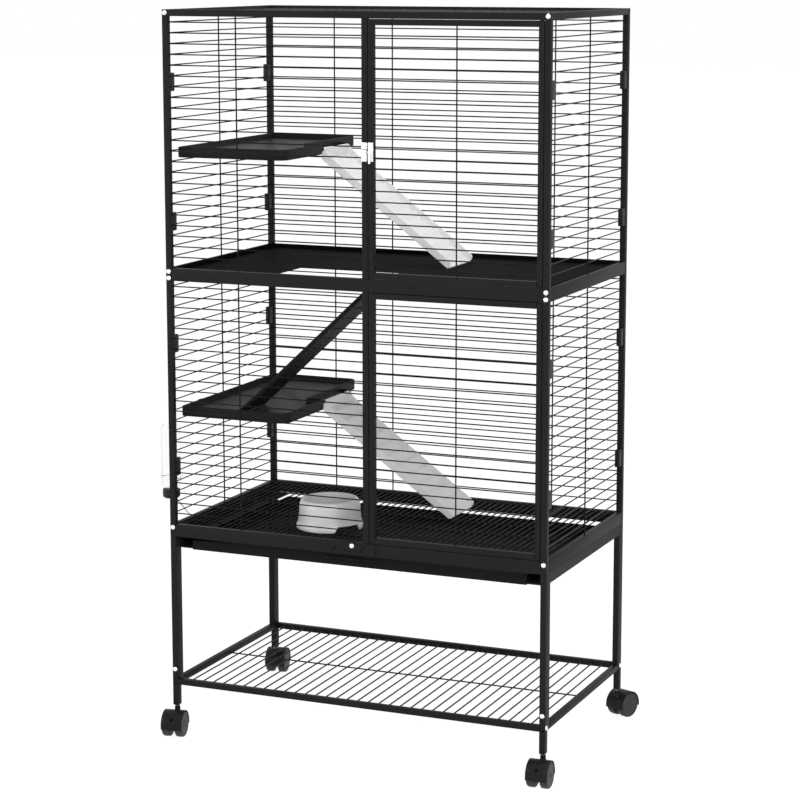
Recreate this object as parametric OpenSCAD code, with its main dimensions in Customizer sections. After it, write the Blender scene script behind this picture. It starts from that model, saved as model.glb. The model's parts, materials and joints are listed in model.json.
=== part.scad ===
// Two-tier small animal cage on a wheeled stand, in millimetres.
// Each piece is drawn in the cage's own measure: x from the left outer face,
// y from the front outer face and z from the ground. The whole is then moved
// so that the middle of its footprint stands on the origin.

/* [Frame] */
// outside width over the corner posts
body_w = 800; // [700:1:900]
// outside depth over the corner posts
body_d = 462; // [400:1:520]
// side of the square frame tube
tube = 12; // [10:1:16]
// wall of every frame tube
tube_wall = 1; // [0.8:0.1:1.5]
// height of the middle and base rails
rail_h = 25; // [20:1:30]
// height of the top frame
top_rail_h = 13; // [12:1:16]
// ground to the underside of the base frame
base_z = 411.5; // [380:0.5:450]
// clear height of one tier between its rails
tier_h = 491; // [450:1:520]
// left face of the dividers
divider_x = 423; // [380:1:460]
// footprint's middle, to the right of the frame's middle
footprint_x = -8.32; // [-20:0.01:20]
// footprint's middle, behind the frame's middle
footprint_y = 0.69; // [-20:0.01:20]

/* [Stand] */
// depth of a leg from front to back
leg_d = 24; // [20:1:30]
// underside of the shelf and of the legs' outer tube
shelf_z = 104.5; // [90:0.5:130]
// underside of the narrow feet
foot_z = 61; // [56:0.5:80]
// width of a foot
foot_w = 12; // [9:0.5:12]
// depth of a foot
foot_d = 15; // [12:0.5:18]
// spacing of the shelf wires
shelf_pitch = 22.8; // [18:0.1:30]
// how far the shelf wires lie above the middle of its frame
shelf_lift = 1; // [0:0.1:2]
// length of a foot inside its leg
foot_grip = 15; // [10:1:30]
// size of the blocks that tie a frame's corners together
corner_block = 8; // [6:1:12]

/* [Wires] */
// thickness of the level wires
wire = 2.5; // [2:0.1:4]
// thickness of the upright wires
upright = 3; // [2:0.1:4]
// depth to which crossing wires are welded into each other
weld = 0.3; // [0.2:0.05:0.5]
// rail to the first wire of a tier
wire_first = 22; // [18:0.5:26]
// last level wire of a tier to the rail over it
wire_last = 11.4; // [8:0.1:20]
// level wires in a tier
wire_rows = 23; // [18:1:26]
// upright wire of the fixed front panels
front_upright = 158; // [100:1:220]
// upright wire of the side panels
side_upright = 229; // [180:1:280]
// outer upright wires of the back panels, from the side faces
back_outer = 155; // [120:1:200]
// inner upright wire of the back panels
back_inner = 287; // [220:1:340]

/* [Floors] */
// rail's top to the face of the upper floor
pan_drop = 7; // [4:0.5:15]
// sheet of the upper floor and of the tray
sheet = 1; // [0.8:0.1:2]
// left edge of the hole in the upper floor
hole_x = 217; // [180:1:260]
// width of the hole
hole_w = 218; // [150:1:260]
// front edge of the hole
hole_y = 50; // [40:1:90]
// depth of the hole
hole_d = 110; // [90:1:140]
// spacing of the floor wires over the tray
grid_pitch = 13.86; // [10:0.01:20]
// first and last cross wire of the wire floor, from the front and the back
cross_inset = 60; // [40:1:80]
// width of the upper floor's turned edge on a rail
edge_w = 3; // [2:0.5:6]
// underside of the upper floor to the mesh ramp's rod
ear_drop = 5; // [4:0.5:8]
// thickness of the ears that carry the mesh ramp
ear_t = 4; // [3:0.5:6]

/* [Tray] */
// underside of the base frame to the top of the tray's walls
tray_drop = 7; // [5:0.5:12]
// depth of the tray from its underside to the top of its walls
tray_h = 19; // [15:1:25]
// width of a runner from the leg inwards
runner_w = 32; // [20:1:40]
// sheet of the runners
runner_sheet = 2; // [1:0.5:3]
// gap between the tray and what it slides on
slide_gap = 0.3; // [0.1:0.1:1]
// gap behind the tray
tray_back = 4; // [2:1:12]
// width of the pull lip on the tray's front
lip_w = 112; // [80:1:140]
// how far the pull lip stands out
lip_out = 5; // [4:0.5:8]
// frame's middle to the pull lip's middle
lip_left = 7; // [0:1:20]
// start of the tray's wings, from its front
wing_start = 14; // [8:1:30]
// thickness of the tray's wings and lip
wing_t = 1.5; // [1:0.1:2]

/* [Doors] */
// gap all round a door
door_gap = 1.2; // [1:0.1:3]
// side of the door's tube
door_tube = 11.5; // [10:0.1:12]
// corner radius of the tube that the door turns on
stile_r = 3.2; // [2:0.1:5]
// thickness of a pivot pin
pin_d = 4; // [3:0.1:6]
// clearance all round a pin or a stem in its hole
fit = 0.08; // [0.02:0.01:0.1]
// length of a pin inside the rail
pin_grip = 4; // [2:0.5:6]
// length of a pin inside the door
pin_root = 8; // [6:0.5:11]
// gap between a pin's collar and the rail
collar_gap = 0.1; // [0.05:0.05:0.5]
// upright wire of the doors
door_upright = 615; // [560:1:680]

/* [Latch] */
// middle rail's top to the middle of the latch
latch_up = 241.5; // [200:0.5:300]
// height of the latch's plates
latch_h = 36; // [28:1:44]
// sheet of the latch's plates
latch_sheet = 1.2; // [0.8:0.1:2]
// length of the latch's lever from its rivet
lever_len = 20; // [16:1:26]
// width of the lever round its rivet
lever_w = 7; // [5:0.5:8]
// thickness of the lever
lever_t = 2; // [1.5:0.1:3]
// gap between the lever and the plates
lever_gap = 0.3; // [0.1:0.1:0.5]
// thickness of the lever's rivet
rivet_d = 3; // [2:0.5:3.5]
// width of the stop plate on the base rail
lock_w = 112; // [80:1:140]
// frame's middle to the stop plate's right end
lock_right = 49; // [30:1:70]
// corner radius of the stop plate
lock_r = 3; // [1:0.5:8]

/* [Platforms] */
// level wire that carries a platform, counted from the rail
hook_row = 11; // [6:1:15]
// underside of a platform to the wire that carries it
hook_drop = 14; // [11:0.5:16]
// height of a platform's rim
platform_h = 21; // [16:1:28]
// left side of the platforms
platform_x = 14; // [12:0.5:18]
// front edge of the platforms
platform_y = 29; // [20:1:40]
// width of the platforms along the front
platform_w = 233; // [200:1:280]
// depth of the platforms
platform_d = 419; // [380:1:421]
// where the narrower part begins, from the platform's front
notch_y = 176; // [140:1:220]
// how much narrower a platform is at the back
notch_w = 39; // [20:1:50]
// radius of the platforms' outer corners
platform_r = 22; // [10:1:40]
// wall of the rim
rim_t = 4; // [3:0.5:8]
// underside to the top of the platform's floor
platform_floor = 10; // [6:0.5:14]
// thickness of the platform's floor
platform_t = 3; // [2:0.5:5]
// thickness of the ears that carry a plastic ramp
ramp_ear = 5; // [3:0.5:8]

/* [Ramps] */
// front side of the plastic ramps
ramp_y = 250; // [230:1:280]
// width of the plastic ramps
ramp_w = 120; // [90:1:140]
// length of a plastic ramp's sloping sole
ramp_len = 343; // [320:1:400]
// height of the upright plate between a ramp's pivot and its sole
hang = 21; // [14:0.5:24]
// height of the side flanges
flange_h = 15.5; // [12:0.5:20]
// radius of a flange's upper corner at the foot
flange_end = 8; // [4:0.5:12]
// wall of the plastic ramps
ramp_t = 2.4; // [1.6:0.1:4]
// steps of a plastic ramp
ramp_steps = 11; // [8:1:14]
// height of a step
step_h = 5.5; // [3:0.5:8]
// bare sole above the first step and below the last
step_margin = 12; // [6:1:20]
// platform's edge to the ramp's pivot
pivot_out = 16; // [8:0.5:24]
// platform's underside to the ramp's pivot
pivot_rise = 7; // [6:0.5:16]
// thickness of the ramps' pivot rods
rod_d = 5; // [4:0.5:8]
// gap under what stands loosely on a floor
rest_gap = 0.3; // [0.2:0.1:0.5]

/* [Mesh ramp] */
// front side of the mesh ramp
mesh_y = 56; // [52:1:80]
// width of the mesh ramp
mesh_w = 103; // [70:1:103]
// foot of the mesh ramp
mesh_x = 135.5; // [120:0.5:160]
// height of its folded edges
mesh_edge = 8; // [5:0.5:12]
// side of a diamond hole
diamond = 8; // [5:0.5:12]
// spacing of the diamond holes across the corners
diamond_pitch = 15; // [12:0.5:20]
// plate of the mesh ramp
mesh_t = 1.5; // [1:0.1:2]
// bare margin of the plate along its sides and at its ends
mesh_margin = 12; // [8:0.5:16]
// length of the lugs that join the plate to its rod
lug = 12; // [8:1:16]

/* [Bowl and bottle] */
// middle of the bowl from the left
bowl_x = 303; // [280:1:330]
// middle of the bowl from the front
bowl_y = 107; // [90:1:130]
// radius of the bowl's foot
bowl_r = 67; // [60:1:75]
// outer radius of the bowl's wall under its shoulder
mouth_r = 61; // [54:0.5:64]
// height of the bowl
bowl_h = 58; // [45:1:70]
// height of the bowl's inside floor
bowl_floor = 10; // [7:0.5:14]
// width of the finger notch at its foot
notch_foot = 53; // [30:1:60]
// width of the finger notch at its top
notch_top = 40; // [20:1:50]
// height of the finger notch
notch_h = 12.5; // [8:0.5:14]
// direction of the finger notch from the bowl's middle
notch_turn = -31; // [-90:1:90]
// middle of the bottle, outside the left face
bottle_out = 26; // [22:1:35]
// middle of the bottle from the front
bottle_y = 55; // [45:1:80]
// radius of the bottle
bottle_r = 20; // [16:0.5:26]
// base frame's top to the shoulder of the bottle
bottle_up = 59; // [50:1:80]
// length of the bottle
bottle_h = 133; // [110:1:150]
// wall of the bottle
bottle_t = 1; // [0.8:0.1:1.5]
// radius of the bottle's cap
cap_r = 17.5; // [14:0.5:20]
// height of the cap
cap_h = 18; // [12:0.5:22]
// thickness of the drinking tube
spout_d = 3.6; // [3:0.1:8]

/* [Casters] */
// radius of a caster wheel
wheel_r = 26; // [23:0.5:30]
// width of one wheel
wheel_w = 16.5; // [12:0.5:20]
// width of the web between the two wheels
web_w = 9; // [8:0.5:18]
// radius of the web below the axle
web_r = 16; // [12:0.5:22]
// gap between a wheel and the hood
wheel_gap = 0.8; // [0.5:0.1:2]
// how far the hood reaches below the axle
hood_skirt = 6; // [0:0.5:10]
// thickness of the neck between hood and foot
neck_d = 11; // [9:0.5:14]
// thickness of the hood over the wheels
hood_t = 1.4; // [1:0.1:3]
// stem to the wheels' axle
trail = 19; // [12:0.5:26]
// thickness of the stem
stem_d = 8; // [6:0.5:10]
// length of the stem inside the foot
stem_grip = 22; // [15:1:30]
// thickness of the wheels' axle
axle_d = 6; // [4:0.5:8]
// turn of the front left caster
turn_front_left = 11; // [0:1:359]
// turn of the front right caster
turn_front_right = 3; // [0:1:359]
// turn of the back left caster
turn_back_left = 190; // [0:1:359]
// turn of the back right caster
turn_back_right = 159; // [0:1:359]

/* [Fasteners] */
// width of a screw head
head_d = 10; // [8:0.5:12]
// height of a screw head
head_h = 2.4; // [1.5:0.1:4]
// thickness of a screw
screw_d = 4; // [3:0.5:5]
// base rail's underside to a screw near its top
screw_high = 18.5; // [14:0.5:20]
// middle rail's underside to the lower of its two screws
screw_low = 5.5; // [4:0.5:8]
// shelf's underside to the screw on a leg's face
leg_screw_up = 31.5; // [20:0.5:60]
// shelf's underside to the screw on a leg's side
side_screw_up = 7; // [5:0.5:9]
// height of a panel clip
clip_h = 36; // [28:1:44]
// base frame's top to the lower clips of the lower tier
clip_up_lower = 114.5; // [80:0.5:160]
// middle rail's top to the lower clips of the upper tier
clip_up_upper = 90.5; // [80:0.5:160]
// upper clips of a tier to the rail over them
clip_down = 127.5; // [80:0.5:160]
// length of a panel clip from the post
clip_d = 17; // [10:1:22]

/* [Hidden] */
$fn = 48;
base_top = base_z + rail_h;
wire_pitch = (tier_h - wire_first - wire_last) / (wire_rows - 1);
mid_z = base_top + tier_h;
mid_top = mid_z + rail_h;
top_z = mid_top + tier_h;
right_x = body_w - tube;
back_y = body_d - tube;
pan_z = mid_top - pan_drop;
wire_y = tube / 2;
divider_right = divider_x + tube;
door_left = divider_right + door_gap;
door_right = right_x - door_gap;
door_y = (tube - door_tube) / 2;
pivot_x = door_right - door_tube / 2;
door_rows = wire_rows - 1;
hood_r = wheel_r + wheel_gap + hood_t;
hood_w = web_w + 2 * (wheel_w + wheel_gap);
boss_top = foot_z - 3;
platform_rise = wire_first + (hook_row - 1) * wire_pitch - hook_drop;
lower_platform_z = base_top + platform_rise;
upper_platform_z = mid_top + platform_rise;
platform_right = platform_x + platform_w - notch_w;
ramp_x = platform_right + pivot_out;
mesh_floor = lower_platform_z + platform_floor;
mesh_top_x = hole_x + hole_w - 1.5;
mesh_run = mesh_top_x - mesh_x;
rod_z = pan_z - sheet - ear_drop;
mesh_rise = rod_z - mesh_floor - rest_gap;
mesh_angle = atan(mesh_rise / mesh_run);
mesh_len = norm([mesh_run, mesh_rise]);
tray_x = tube + runner_w;
tray_top = base_z - tray_drop;
tray_len = back_y - tube - tray_back;
tray_z = tray_top - tray_h;
runner_z = tray_z + 2;
clip_heights = [base_top + clip_up_lower, mid_z - clip_down, mid_top + clip_up_upper, top_z - clip_down];
mid_screws = [mid_z + screw_low, mid_z + screw_high];
leg_screw_z = shelf_z + leg_screw_up;
side_screw_z = shelf_z + side_screw_up;
base_screw_z = base_z + screw_high;
latch_z = mid_top + latch_up;
bottle_z = base_top + bottle_up;

// Moves the cage's own measure so that the footprint's middle is the origin.
module placed() {
    translate([-body_w / 2 - footprint_x, -body_d / 2 - footprint_y, 0])
        children();
}

// Square or flat tube, open at both ends, along one axis (0 is x, 1 is y, 2 is z).
module tube_along(axis, from, size) {
    inside = [for (i = [0:2]) i == axis ? size[i] + 2 : size[i] - 2 * tube_wall];
    start = [for (i = [0:2]) i == axis ? from[i] - 1 : from[i] + tube_wall];
    difference() {
        translate(from) cube(size);
        translate(start) cube(inside);
    }
}

module cube_at(from, size) {
    translate(from) cube(size);
}

// Hole for a screw through the front or back wall of a tube.
module face_hole(x, y, z) {
    translate([x, y, z])
        rotate([90, 0, 0])
        cylinder(h = 4 * tube_wall, d = screw_d + 0.2, center = true);
}

// Hole for a pivot pin through the upper or lower wall of a rail.
module pin_hole(z) {
    translate([pivot_x, wire_y, z])
        cylinder(h = 4 * tube_wall, d = pin_d + 2 * fit, center = true);
}

// Posts

module post(x, y, face_y) {
    difference() {
        tube_along(2, [x, y, base_z], [tube, tube, top_z - base_z]);
        for (z = concat([base_screw_z], mid_screws)) face_hole(x + tube / 2, face_y, z);
    }
}

module post_front_left()
    color([0.16, 0.16, 0.17]) placed() post(0, 0, 0);

module post_front_right()
    color([0.16, 0.16, 0.17]) placed() post(right_x, 0, 0);

module post_back_left()
    color([0.16, 0.16, 0.17]) placed() post(0, back_y, body_d);

module post_back_right()
    color([0.16, 0.16, 0.17]) placed() post(right_x, back_y, body_d);

// Legs. A solid foot is pressed into the leg's tube and holds the caster's stem.
// The leg is drawn at the front left and mirrored to the other corners.

module leg() {
    difference() {
        union() {
            tube_along(2, [0, 0, shelf_z], [tube, leg_d, base_z - shelf_z]);
            translate([(tube - foot_w) / 2, 0, foot_z]) cube([foot_w, foot_d, shelf_z - foot_z]);
            translate([tube_wall, tube_wall, shelf_z])
                cube([tube - 2 * tube_wall, foot_d - tube_wall, foot_grip]);
        }
        translate([tube / 2, foot_d / 2, foot_z - 1])
            cylinder(h = stem_grip + 3, d = stem_d + 2 * fit);
        face_hole(tube / 2, 0, leg_screw_z);
        translate([0, foot_d / 2, side_screw_z])
            rotate([0, 90, 0])
            cylinder(h = 4 * tube_wall, d = screw_d + 0.2, center = true);
    }
}

module leg_front_left()
    color([0.16, 0.16, 0.17]) placed() leg();

module leg_front_right()
    color([0.16, 0.16, 0.17]) placed() translate([body_w, 0, 0]) mirror([1, 0, 0]) leg();

module leg_back_left()
    color([0.16, 0.16, 0.17]) placed() translate([0, body_d, 0]) mirror([0, 1, 0]) leg();

module leg_back_right()
    color([0.16, 0.16, 0.17]) placed()
        translate([body_w, body_d, 0]) mirror([1, 0, 0]) mirror([0, 1, 0]) leg();

// Frames and rails

// The top frame lies on the posts. Its corners are closed tube ends.
module top_frame()
    color([0.16, 0.16, 0.17]) placed() difference() {
        union() {
            tube_along(0, [0, 0, top_z], [body_w, tube, top_rail_h]);
            tube_along(0, [0, back_y, top_z], [body_w, tube, top_rail_h]);
            tube_along(1, [0, tube, top_z], [tube, back_y - tube, top_rail_h]);
            tube_along(1, [right_x, tube, top_z], [tube, back_y - tube, top_rail_h]);
        }
        pin_hole(top_z);
        for (x = [tube / 2, body_w - tube / 2], y = [0, body_d])
            face_hole(x, y, top_z + top_rail_h / 2);
    }

module mid_rail_front()
    color([0.16, 0.16, 0.17]) placed() difference() {
        tube_along(0, [tube, 0, mid_z], [right_x - tube, tube, rail_h]);
        pin_hole(mid_z);
        pin_hole(mid_top);
    }

module mid_rail_back()
    color([0.16, 0.16, 0.17]) placed()
        tube_along(0, [tube, back_y, mid_z], [right_x - tube, tube, rail_h]);

module mid_rail_left()
    color([0.16, 0.16, 0.17]) placed()
        tube_along(1, [0, tube, mid_z], [tube, back_y - tube, rail_h]);

module mid_rail_right()
    color([0.16, 0.16, 0.17]) placed()
        tube_along(1, [right_x, tube, mid_z], [tube, back_y - tube, rail_h]);

// Four blocks that tie front, back and side tubes past the posts or legs.
module corner_blocks(z, h, reach) {
    for (mx = [0, 1], my = [0, 1])
        translate([mx * body_w, my * body_d, z])
            mirror([mx, 0, 0])
            mirror([0, my, 0])
            translate([tube, tube, 0])
            cube([corner_block, reach, h]);
}

// The base frame runs between the posts, and blocks inside its corners tie it.
module base_frame()
    color([0.16, 0.16, 0.17]) placed() difference() {
        union() {
            tube_along(0, [tube, 0, base_z], [right_x - tube, tube, rail_h]);
            tube_along(0, [tube, back_y, base_z], [right_x - tube, tube, rail_h]);
            tube_along(1, [0, tube, base_z], [tube, back_y - tube, rail_h]);
            tube_along(1, [right_x, tube, base_z], [tube, back_y - tube, rail_h]);
            corner_blocks(base_z, rail_h, corner_block);
        }
        pin_hole(base_top);
        face_hole(body_w / 2, 0, base_screw_z);
    }

// The shelf frame runs between the legs in the same way.
module shelf_frame()
    color([0.16, 0.16, 0.17]) placed() union() {
        tube_along(0, [tube, 0, shelf_z], [right_x - tube, tube, tube]);
        tube_along(0, [tube, back_y, shelf_z], [right_x - tube, tube, tube]);
        tube_along(1, [0, leg_d, shelf_z], [tube, body_d - 2 * leg_d, tube]);
        tube_along(1, [right_x, leg_d, shelf_z], [tube, body_d - 2 * leg_d, tube]);
        corner_blocks(shelf_z, tube, leg_d - tube + corner_block);
    }

// Shelf wires run from front to back over one cross wire.
shelf_rows = floor((right_x - tube) / shelf_pitch);
shelf_wire_z = shelf_z + tube / 2 + shelf_lift;
module shelf_wires()
    color([0.16, 0.16, 0.17]) placed() union() {
        for (i = [1:shelf_rows - 1])
            translate([body_w / 2 + (i - shelf_rows / 2) * shelf_pitch, tube, shelf_wire_z])
                rotate([-90, 0, 0])
                cylinder(h = back_y - tube, d = upright);
        translate([tube, body_d / 2, shelf_wire_z - upright + weld])
            rotate([0, 90, 0])
            cylinder(h = right_x - tube, d = upright);
    }

module divider(z) {
    tube_along(2, [divider_x, 0, z], [tube, tube, tier_h]);
}

module upper_divider()
    color([0.16, 0.16, 0.17]) placed() divider(mid_top);

module lower_divider()
    color([0.16, 0.16, 0.17]) placed() divider(base_top);

// Wire panels

// Level wires along x from one face to the other.
module rows_x(x1, x2, y, z, rows) {
    for (i = [0:rows - 1])
        translate([x1, y, z + wire_first + i * wire_pitch])
            rotate([0, 90, 0])
            cylinder(h = x2 - x1, d = wire);
}

// Level wires along y between the front and back posts.
module rows_y(x, z) {
    for (i = [0:wire_rows - 1])
        translate([x, tube, z + wire_first + i * wire_pitch])
            rotate([-90, 0, 0])
            cylinder(h = back_y - tube, d = wire);
}

// Upright wire outside the level wires, welded to them.
off = (wire + upright) / 2 - weld;
module upright_at(x, y, z, h) {
    translate([x, y, z]) cylinder(h = h, d = upright);
}

module front_panel(z) {
    rows_x(tube, divider_x, wire_y, z, wire_rows);
    upright_at(front_upright, wire_y - off, z, tier_h);
}

module upper_front_panel()
    color([0.16, 0.16, 0.17]) placed() front_panel(mid_top);

module lower_front_panel()
    color([0.16, 0.16, 0.17]) placed() front_panel(base_top);

module side_panel(x, out, z) {
    rows_y(x, z);
    upright_at(x + out * off, side_upright, z, tier_h);
}

module upper_left_panel()
    color([0.16, 0.16, 0.17]) placed() side_panel(tube / 2, -1, mid_top);

module lower_left_panel()
    color([0.16, 0.16, 0.17]) placed() side_panel(tube / 2, -1, base_top);

module upper_right_panel()
    color([0.16, 0.16, 0.17]) placed() side_panel(body_w - tube / 2, 1, mid_top);

module lower_right_panel()
    color([0.16, 0.16, 0.17]) placed() side_panel(body_w - tube / 2, 1, base_top);

module back_panel(z) {
    rows_x(tube, right_x, body_d - wire_y, z, wire_rows);
    for (x = [back_outer, back_inner, body_w - back_outer])
        upright_at(x, body_d - wire_y + off, z, tier_h);
}

module upper_back_panel()
    color([0.16, 0.16, 0.17]) placed() back_panel(mid_top);

module lower_back_panel()
    color([0.16, 0.16, 0.17]) placed() back_panel(base_top);

// The top panel's wires run from front to back over two cross wires.
top_rows = floor((right_x - tube) / wire_pitch);
module top_panel()
    color([0.16, 0.16, 0.17]) placed() union() {
        for (i = [1:top_rows - 1])
            translate([body_w / 2 + (i - top_rows / 2) * wire_pitch, tube, top_z + top_rail_h / 2])
                rotate([-90, 0, 0])
                cylinder(h = back_y - tube, d = wire);
        for (y = [body_d / 3, body_d * 2 / 3])
            translate([tube, y, top_z + top_rail_h / 2 - off])
                rotate([0, 90, 0])
                cylinder(h = right_x - tube, d = upright);
    }

// Floors and tray

// The upper floor is a shallow pan whose turned edge lies on three rails. Two
// ears under the hole's right edge carry the mesh ramp.
ear_w = rod_d + 4;
module upper_floor() {
    inner_w = right_x - tube;
    inner_d = back_y - tube;
    color([0.12, 0.12, 0.13]) placed() difference() {
        union() {
            translate([tube, tube, pan_z - sheet]) cube([inner_w, inner_d, sheet + pan_drop]);
            for (x = [tube - edge_w, right_x])
                translate([x, tube + sheet, mid_top]) cube([edge_w, inner_d - 2 * sheet, sheet]);
            for (x = [tube, right_x - sheet])
                translate([x, tube + sheet, mid_top - sheet])
                    cube([sheet, inner_d - sheet, 2 * sheet]);
            translate([tube + sheet, back_y, mid_top]) cube([inner_w - 2 * sheet, edge_w, sheet]);
            translate([tube + sheet, back_y - sheet, mid_top - sheet])
                cube([inner_w - 2 * sheet, sheet, 2 * sheet]);
            for (y = [mesh_y - ear_t - 1, mesh_y + mesh_w + 1])
                translate([mesh_top_x - ear_w / 2, y, rod_z - ear_w / 2])
                    cube([ear_w, ear_t, pan_z - rod_z + ear_w / 2]);
        }
        translate([tube + sheet, tube + sheet, pan_z])
            cube([inner_w - 2 * sheet, inner_d - 2 * sheet, pan_drop + sheet + 1]);
        translate([hole_x, hole_y, pan_z - sheet - 1]) cube([hole_w, hole_d, sheet + 2]);
        translate([mesh_top_x, mesh_y - ear_t - 2, rod_z])
            rotate([-90, 0, 0])
            cylinder(h = mesh_w + 2 * ear_t + 4, d = rod_d - 1 + 2 * fit);
    }
}

// The wire floor over the tray: wires from front to back on four cross wires.
grid_rows = round((right_x - tube) / grid_pitch);
cross_pitch = (body_d - 2 * cross_inset) / 3;
module wire_floor()
    color([0.12, 0.12, 0.13]) placed() union() {
        for (i = [1:grid_rows - 1])
            translate([tube + i * (right_x - tube) / grid_rows, tube, base_top - wire / 2])
                rotate([-90, 0, 0])
                cylinder(h = back_y - tube, d = wire);
        for (k = [0:3])
            translate([tube, cross_inset + k * cross_pitch, base_top - wire / 2 - off])
                rotate([0, 90, 0])
                cylinder(h = right_x - tube, d = upright);
    }

// The tray has a wing along each side that slides in the runner, and a pull
// lip in the middle of its front.
module tray()
    color([0.1, 0.1, 0.11]) placed() union() {
        difference() {
            translate([tray_x + slide_gap, tube, tray_z])
                cube([body_w - 2 * (tray_x + slide_gap), tray_len, tray_h]);
            translate([tray_x + slide_gap + sheet, tube + sheet, tray_z + sheet])
                cube([body_w - 2 * (tray_x + slide_gap + sheet), tray_len - 2 * sheet, tray_h]);
        }
        for (x = [tube + runner_sheet + slide_gap, body_w - tray_x - slide_gap])
            translate([x, tube + wing_start, runner_z + runner_sheet + slide_gap])
                cube([runner_w - runner_sheet, tray_len - wing_start, wing_t]);
        translate([body_w / 2 - lip_left - lip_w / 2, tube - lip_out, tray_top - 2 * wing_t])
            cube([lip_w, lip_out, wing_t]);
        translate([body_w / 2 - lip_left - lip_w / 2, tube - lip_out, tray_top - 4 * wing_t])
            cube([lip_w, sheet, 3 * wing_t]);
    }

// A runner is a channel open towards the tray, with an apron flush with the legs.
module runner() {
    union() {
        difference() {
            translate([tube, tube, runner_z]) cube([runner_w, back_y - tube, base_z - runner_z]);
            translate([tube + runner_sheet, tube - 1, runner_z + runner_sheet])
                cube([runner_w, back_y - tube + 2, base_z - runner_z - 2 * runner_sheet]);
        }
        translate([0, leg_d, base_z - runner_sheet])
            cube([tube, body_d - 2 * leg_d, runner_sheet]);
        translate([0, leg_d, base_z - 20]) cube([runner_sheet, body_d - 2 * leg_d, 20]);
    }
}

module runner_left()
    color([0.16, 0.16, 0.17]) placed() runner();

module runner_right()
    color([0.16, 0.16, 0.17]) placed() translate([body_w, 0, 0]) mirror([1, 0, 0]) runner();

// Doors

// Square tube with rounded corners that a door turns on.
module turning_stile(z, h) {
    s = door_tube - 2 * stile_r;
    translate([pivot_x, wire_y, z]) linear_extrude(height = h) difference() {
        union() {
            square([door_tube, s], center = true);
            square([s, door_tube], center = true);
            for (mx = [-1, 1], my = [-1, 1])
                translate([mx * s / 2, my * s / 2]) circle(r = stile_r);
        }
        square(door_tube - 2 * stile_r + 1, center = true);
    }
}

// Pivot pin with a collar, above or below the door.
module pivot_pin(z, up) {
    collar_d = door_tube - 2 * tube_wall - 1;
    translate([pivot_x, wire_y, z]) mirror([0, 0, up ? 0 : 1]) union() {
        translate([0, 0, -pin_root]) cylinder(h = pin_root + door_gap + pin_grip, d = pin_d);
        translate([0, 0, -tube_wall]) cylinder(h = door_gap + tube_wall - collar_gap, d = collar_d);
    }
}

module door_frame(z) {
    h = tier_h - 2 * door_gap;
    inner = door_right - door_left - 2 * door_tube;
    low = z + door_gap;
    tube_along(2, [door_left, door_y, low], [door_tube, door_tube, h]);
    turning_stile(low, h);
    for (zz = [low, low + h - door_tube])
        tube_along(0, [door_left + door_tube, door_y, zz], [inner, door_tube, door_tube]);
    pivot_pin(low + h, true);
    pivot_pin(low, false);
}

module door_wires(z) {
    rows_x(door_left + door_tube, door_right - door_tube, wire_y, z, door_rows);
    upright_at(door_upright, wire_y - off, z + door_gap + door_tube, tier_h - 2 * (door_gap + door_tube));
}

module upper_door_frame()
    color([0.17, 0.17, 0.18]) placed() union() door_frame(mid_top);

module upper_door_wires()
    color([0.17, 0.17, 0.18]) placed() union() door_wires(mid_top);

module lower_door_frame()
    color([0.17, 0.17, 0.18]) placed() union() door_frame(base_top);

module lower_door_wires()
    color([0.17, 0.17, 0.18]) placed() union() door_wires(base_top);

// Latch. A lever hangs from a rivet on the door's plate. Turned up to the left,
// it lies behind the strap of the keeper and holds the door.

latch_inset = 0.5;
strap_t = 1;
lever_y = -latch_sheet - lever_gap;
strap_y = lever_y - lever_t - lever_gap;
rivet_x = door_left + latch_inset + lever_w / 2;

module latch_keeper()
    color([0.85, 0.85, 0.86]) placed() translate([divider_x + latch_inset, 0, latch_z]) union() {
        w = tube - 2 * latch_inset;
        web_z = lever_w / 2 + lever_gap;
        translate([0, -latch_sheet, -latch_h / 2]) cube([w, latch_sheet, latch_h]);
        translate([0, strap_y - strap_t, -lever_w / 2]) cube([w, strap_t, lever_w / 2 + web_z + 1.5]);
        translate([0, strap_y - strap_t, web_z]) cube([w, strap_t - strap_y, 1.5]);
    }

module latch_plate()
    color([0.85, 0.85, 0.86]) placed() union() {
        translate([door_left + latch_inset, -latch_sheet, latch_z - latch_h / 2])
            cube([door_tube - 2 * latch_inset, latch_sheet + door_y, latch_h]);
        translate([rivet_x, 0, latch_z]) rotate([90, 0, 0]) {
            cylinder(h = 0.1 - strap_y, d = rivet_d);
            translate([0, 0, -strap_y]) cylinder(h = strap_t, d = lever_w - 1);
        }
    }

module latch_lever()
    color([0.8, 0.8, 0.81]) placed() translate([rivet_x, lever_y, latch_z]) rotate([90, 0, 0])
        linear_extrude(height = lever_t) difference() {
            union() {
                circle(d = lever_w);
                translate([-1.8, -lever_len]) square([3.6, lever_len]);
                translate([0, -lever_len]) circle(r = 2.4);
            }
            circle(d = rivet_d + 2 * fit);
        }

// Stop plate on the base rail's front, held by one screw. Two slanted beads
// stiffen it, and its ends are rounded.
module lock_plate() {
    w = lock_w - 2 * lock_r;
    h = rail_h - 2 - 2 * lock_r;
    color([0.13, 0.13, 0.14]) placed() difference() {
        translate([body_w / 2, 0, base_z + rail_h / 2]) rotate([90, 0, 0]) union() {
            linear_extrude(height = 2) difference() {
                union() {
                    translate([lock_right - lock_w / 2, 0]) square([lock_w, h], center = true);
                    translate([lock_right - lock_w / 2, 0]) square([w, h + 2 * lock_r], center = true);
                    for (mx = [-1, 1], my = [-1, 1])
                        translate([lock_right - lock_w / 2 + mx * w / 2, my * h / 2]) circle(r = lock_r);
                }
                for (x = [-36, 22])
                    translate([x, 0])
                        rotate(-35)
                        square([3, 14], center = true);
            }
            translate([-30, -5, 1.5]) cube([44, 2, 1.5]);
        }
        face_hole(body_w / 2, -1, base_screw_z);
    }
}

// Platforms

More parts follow.
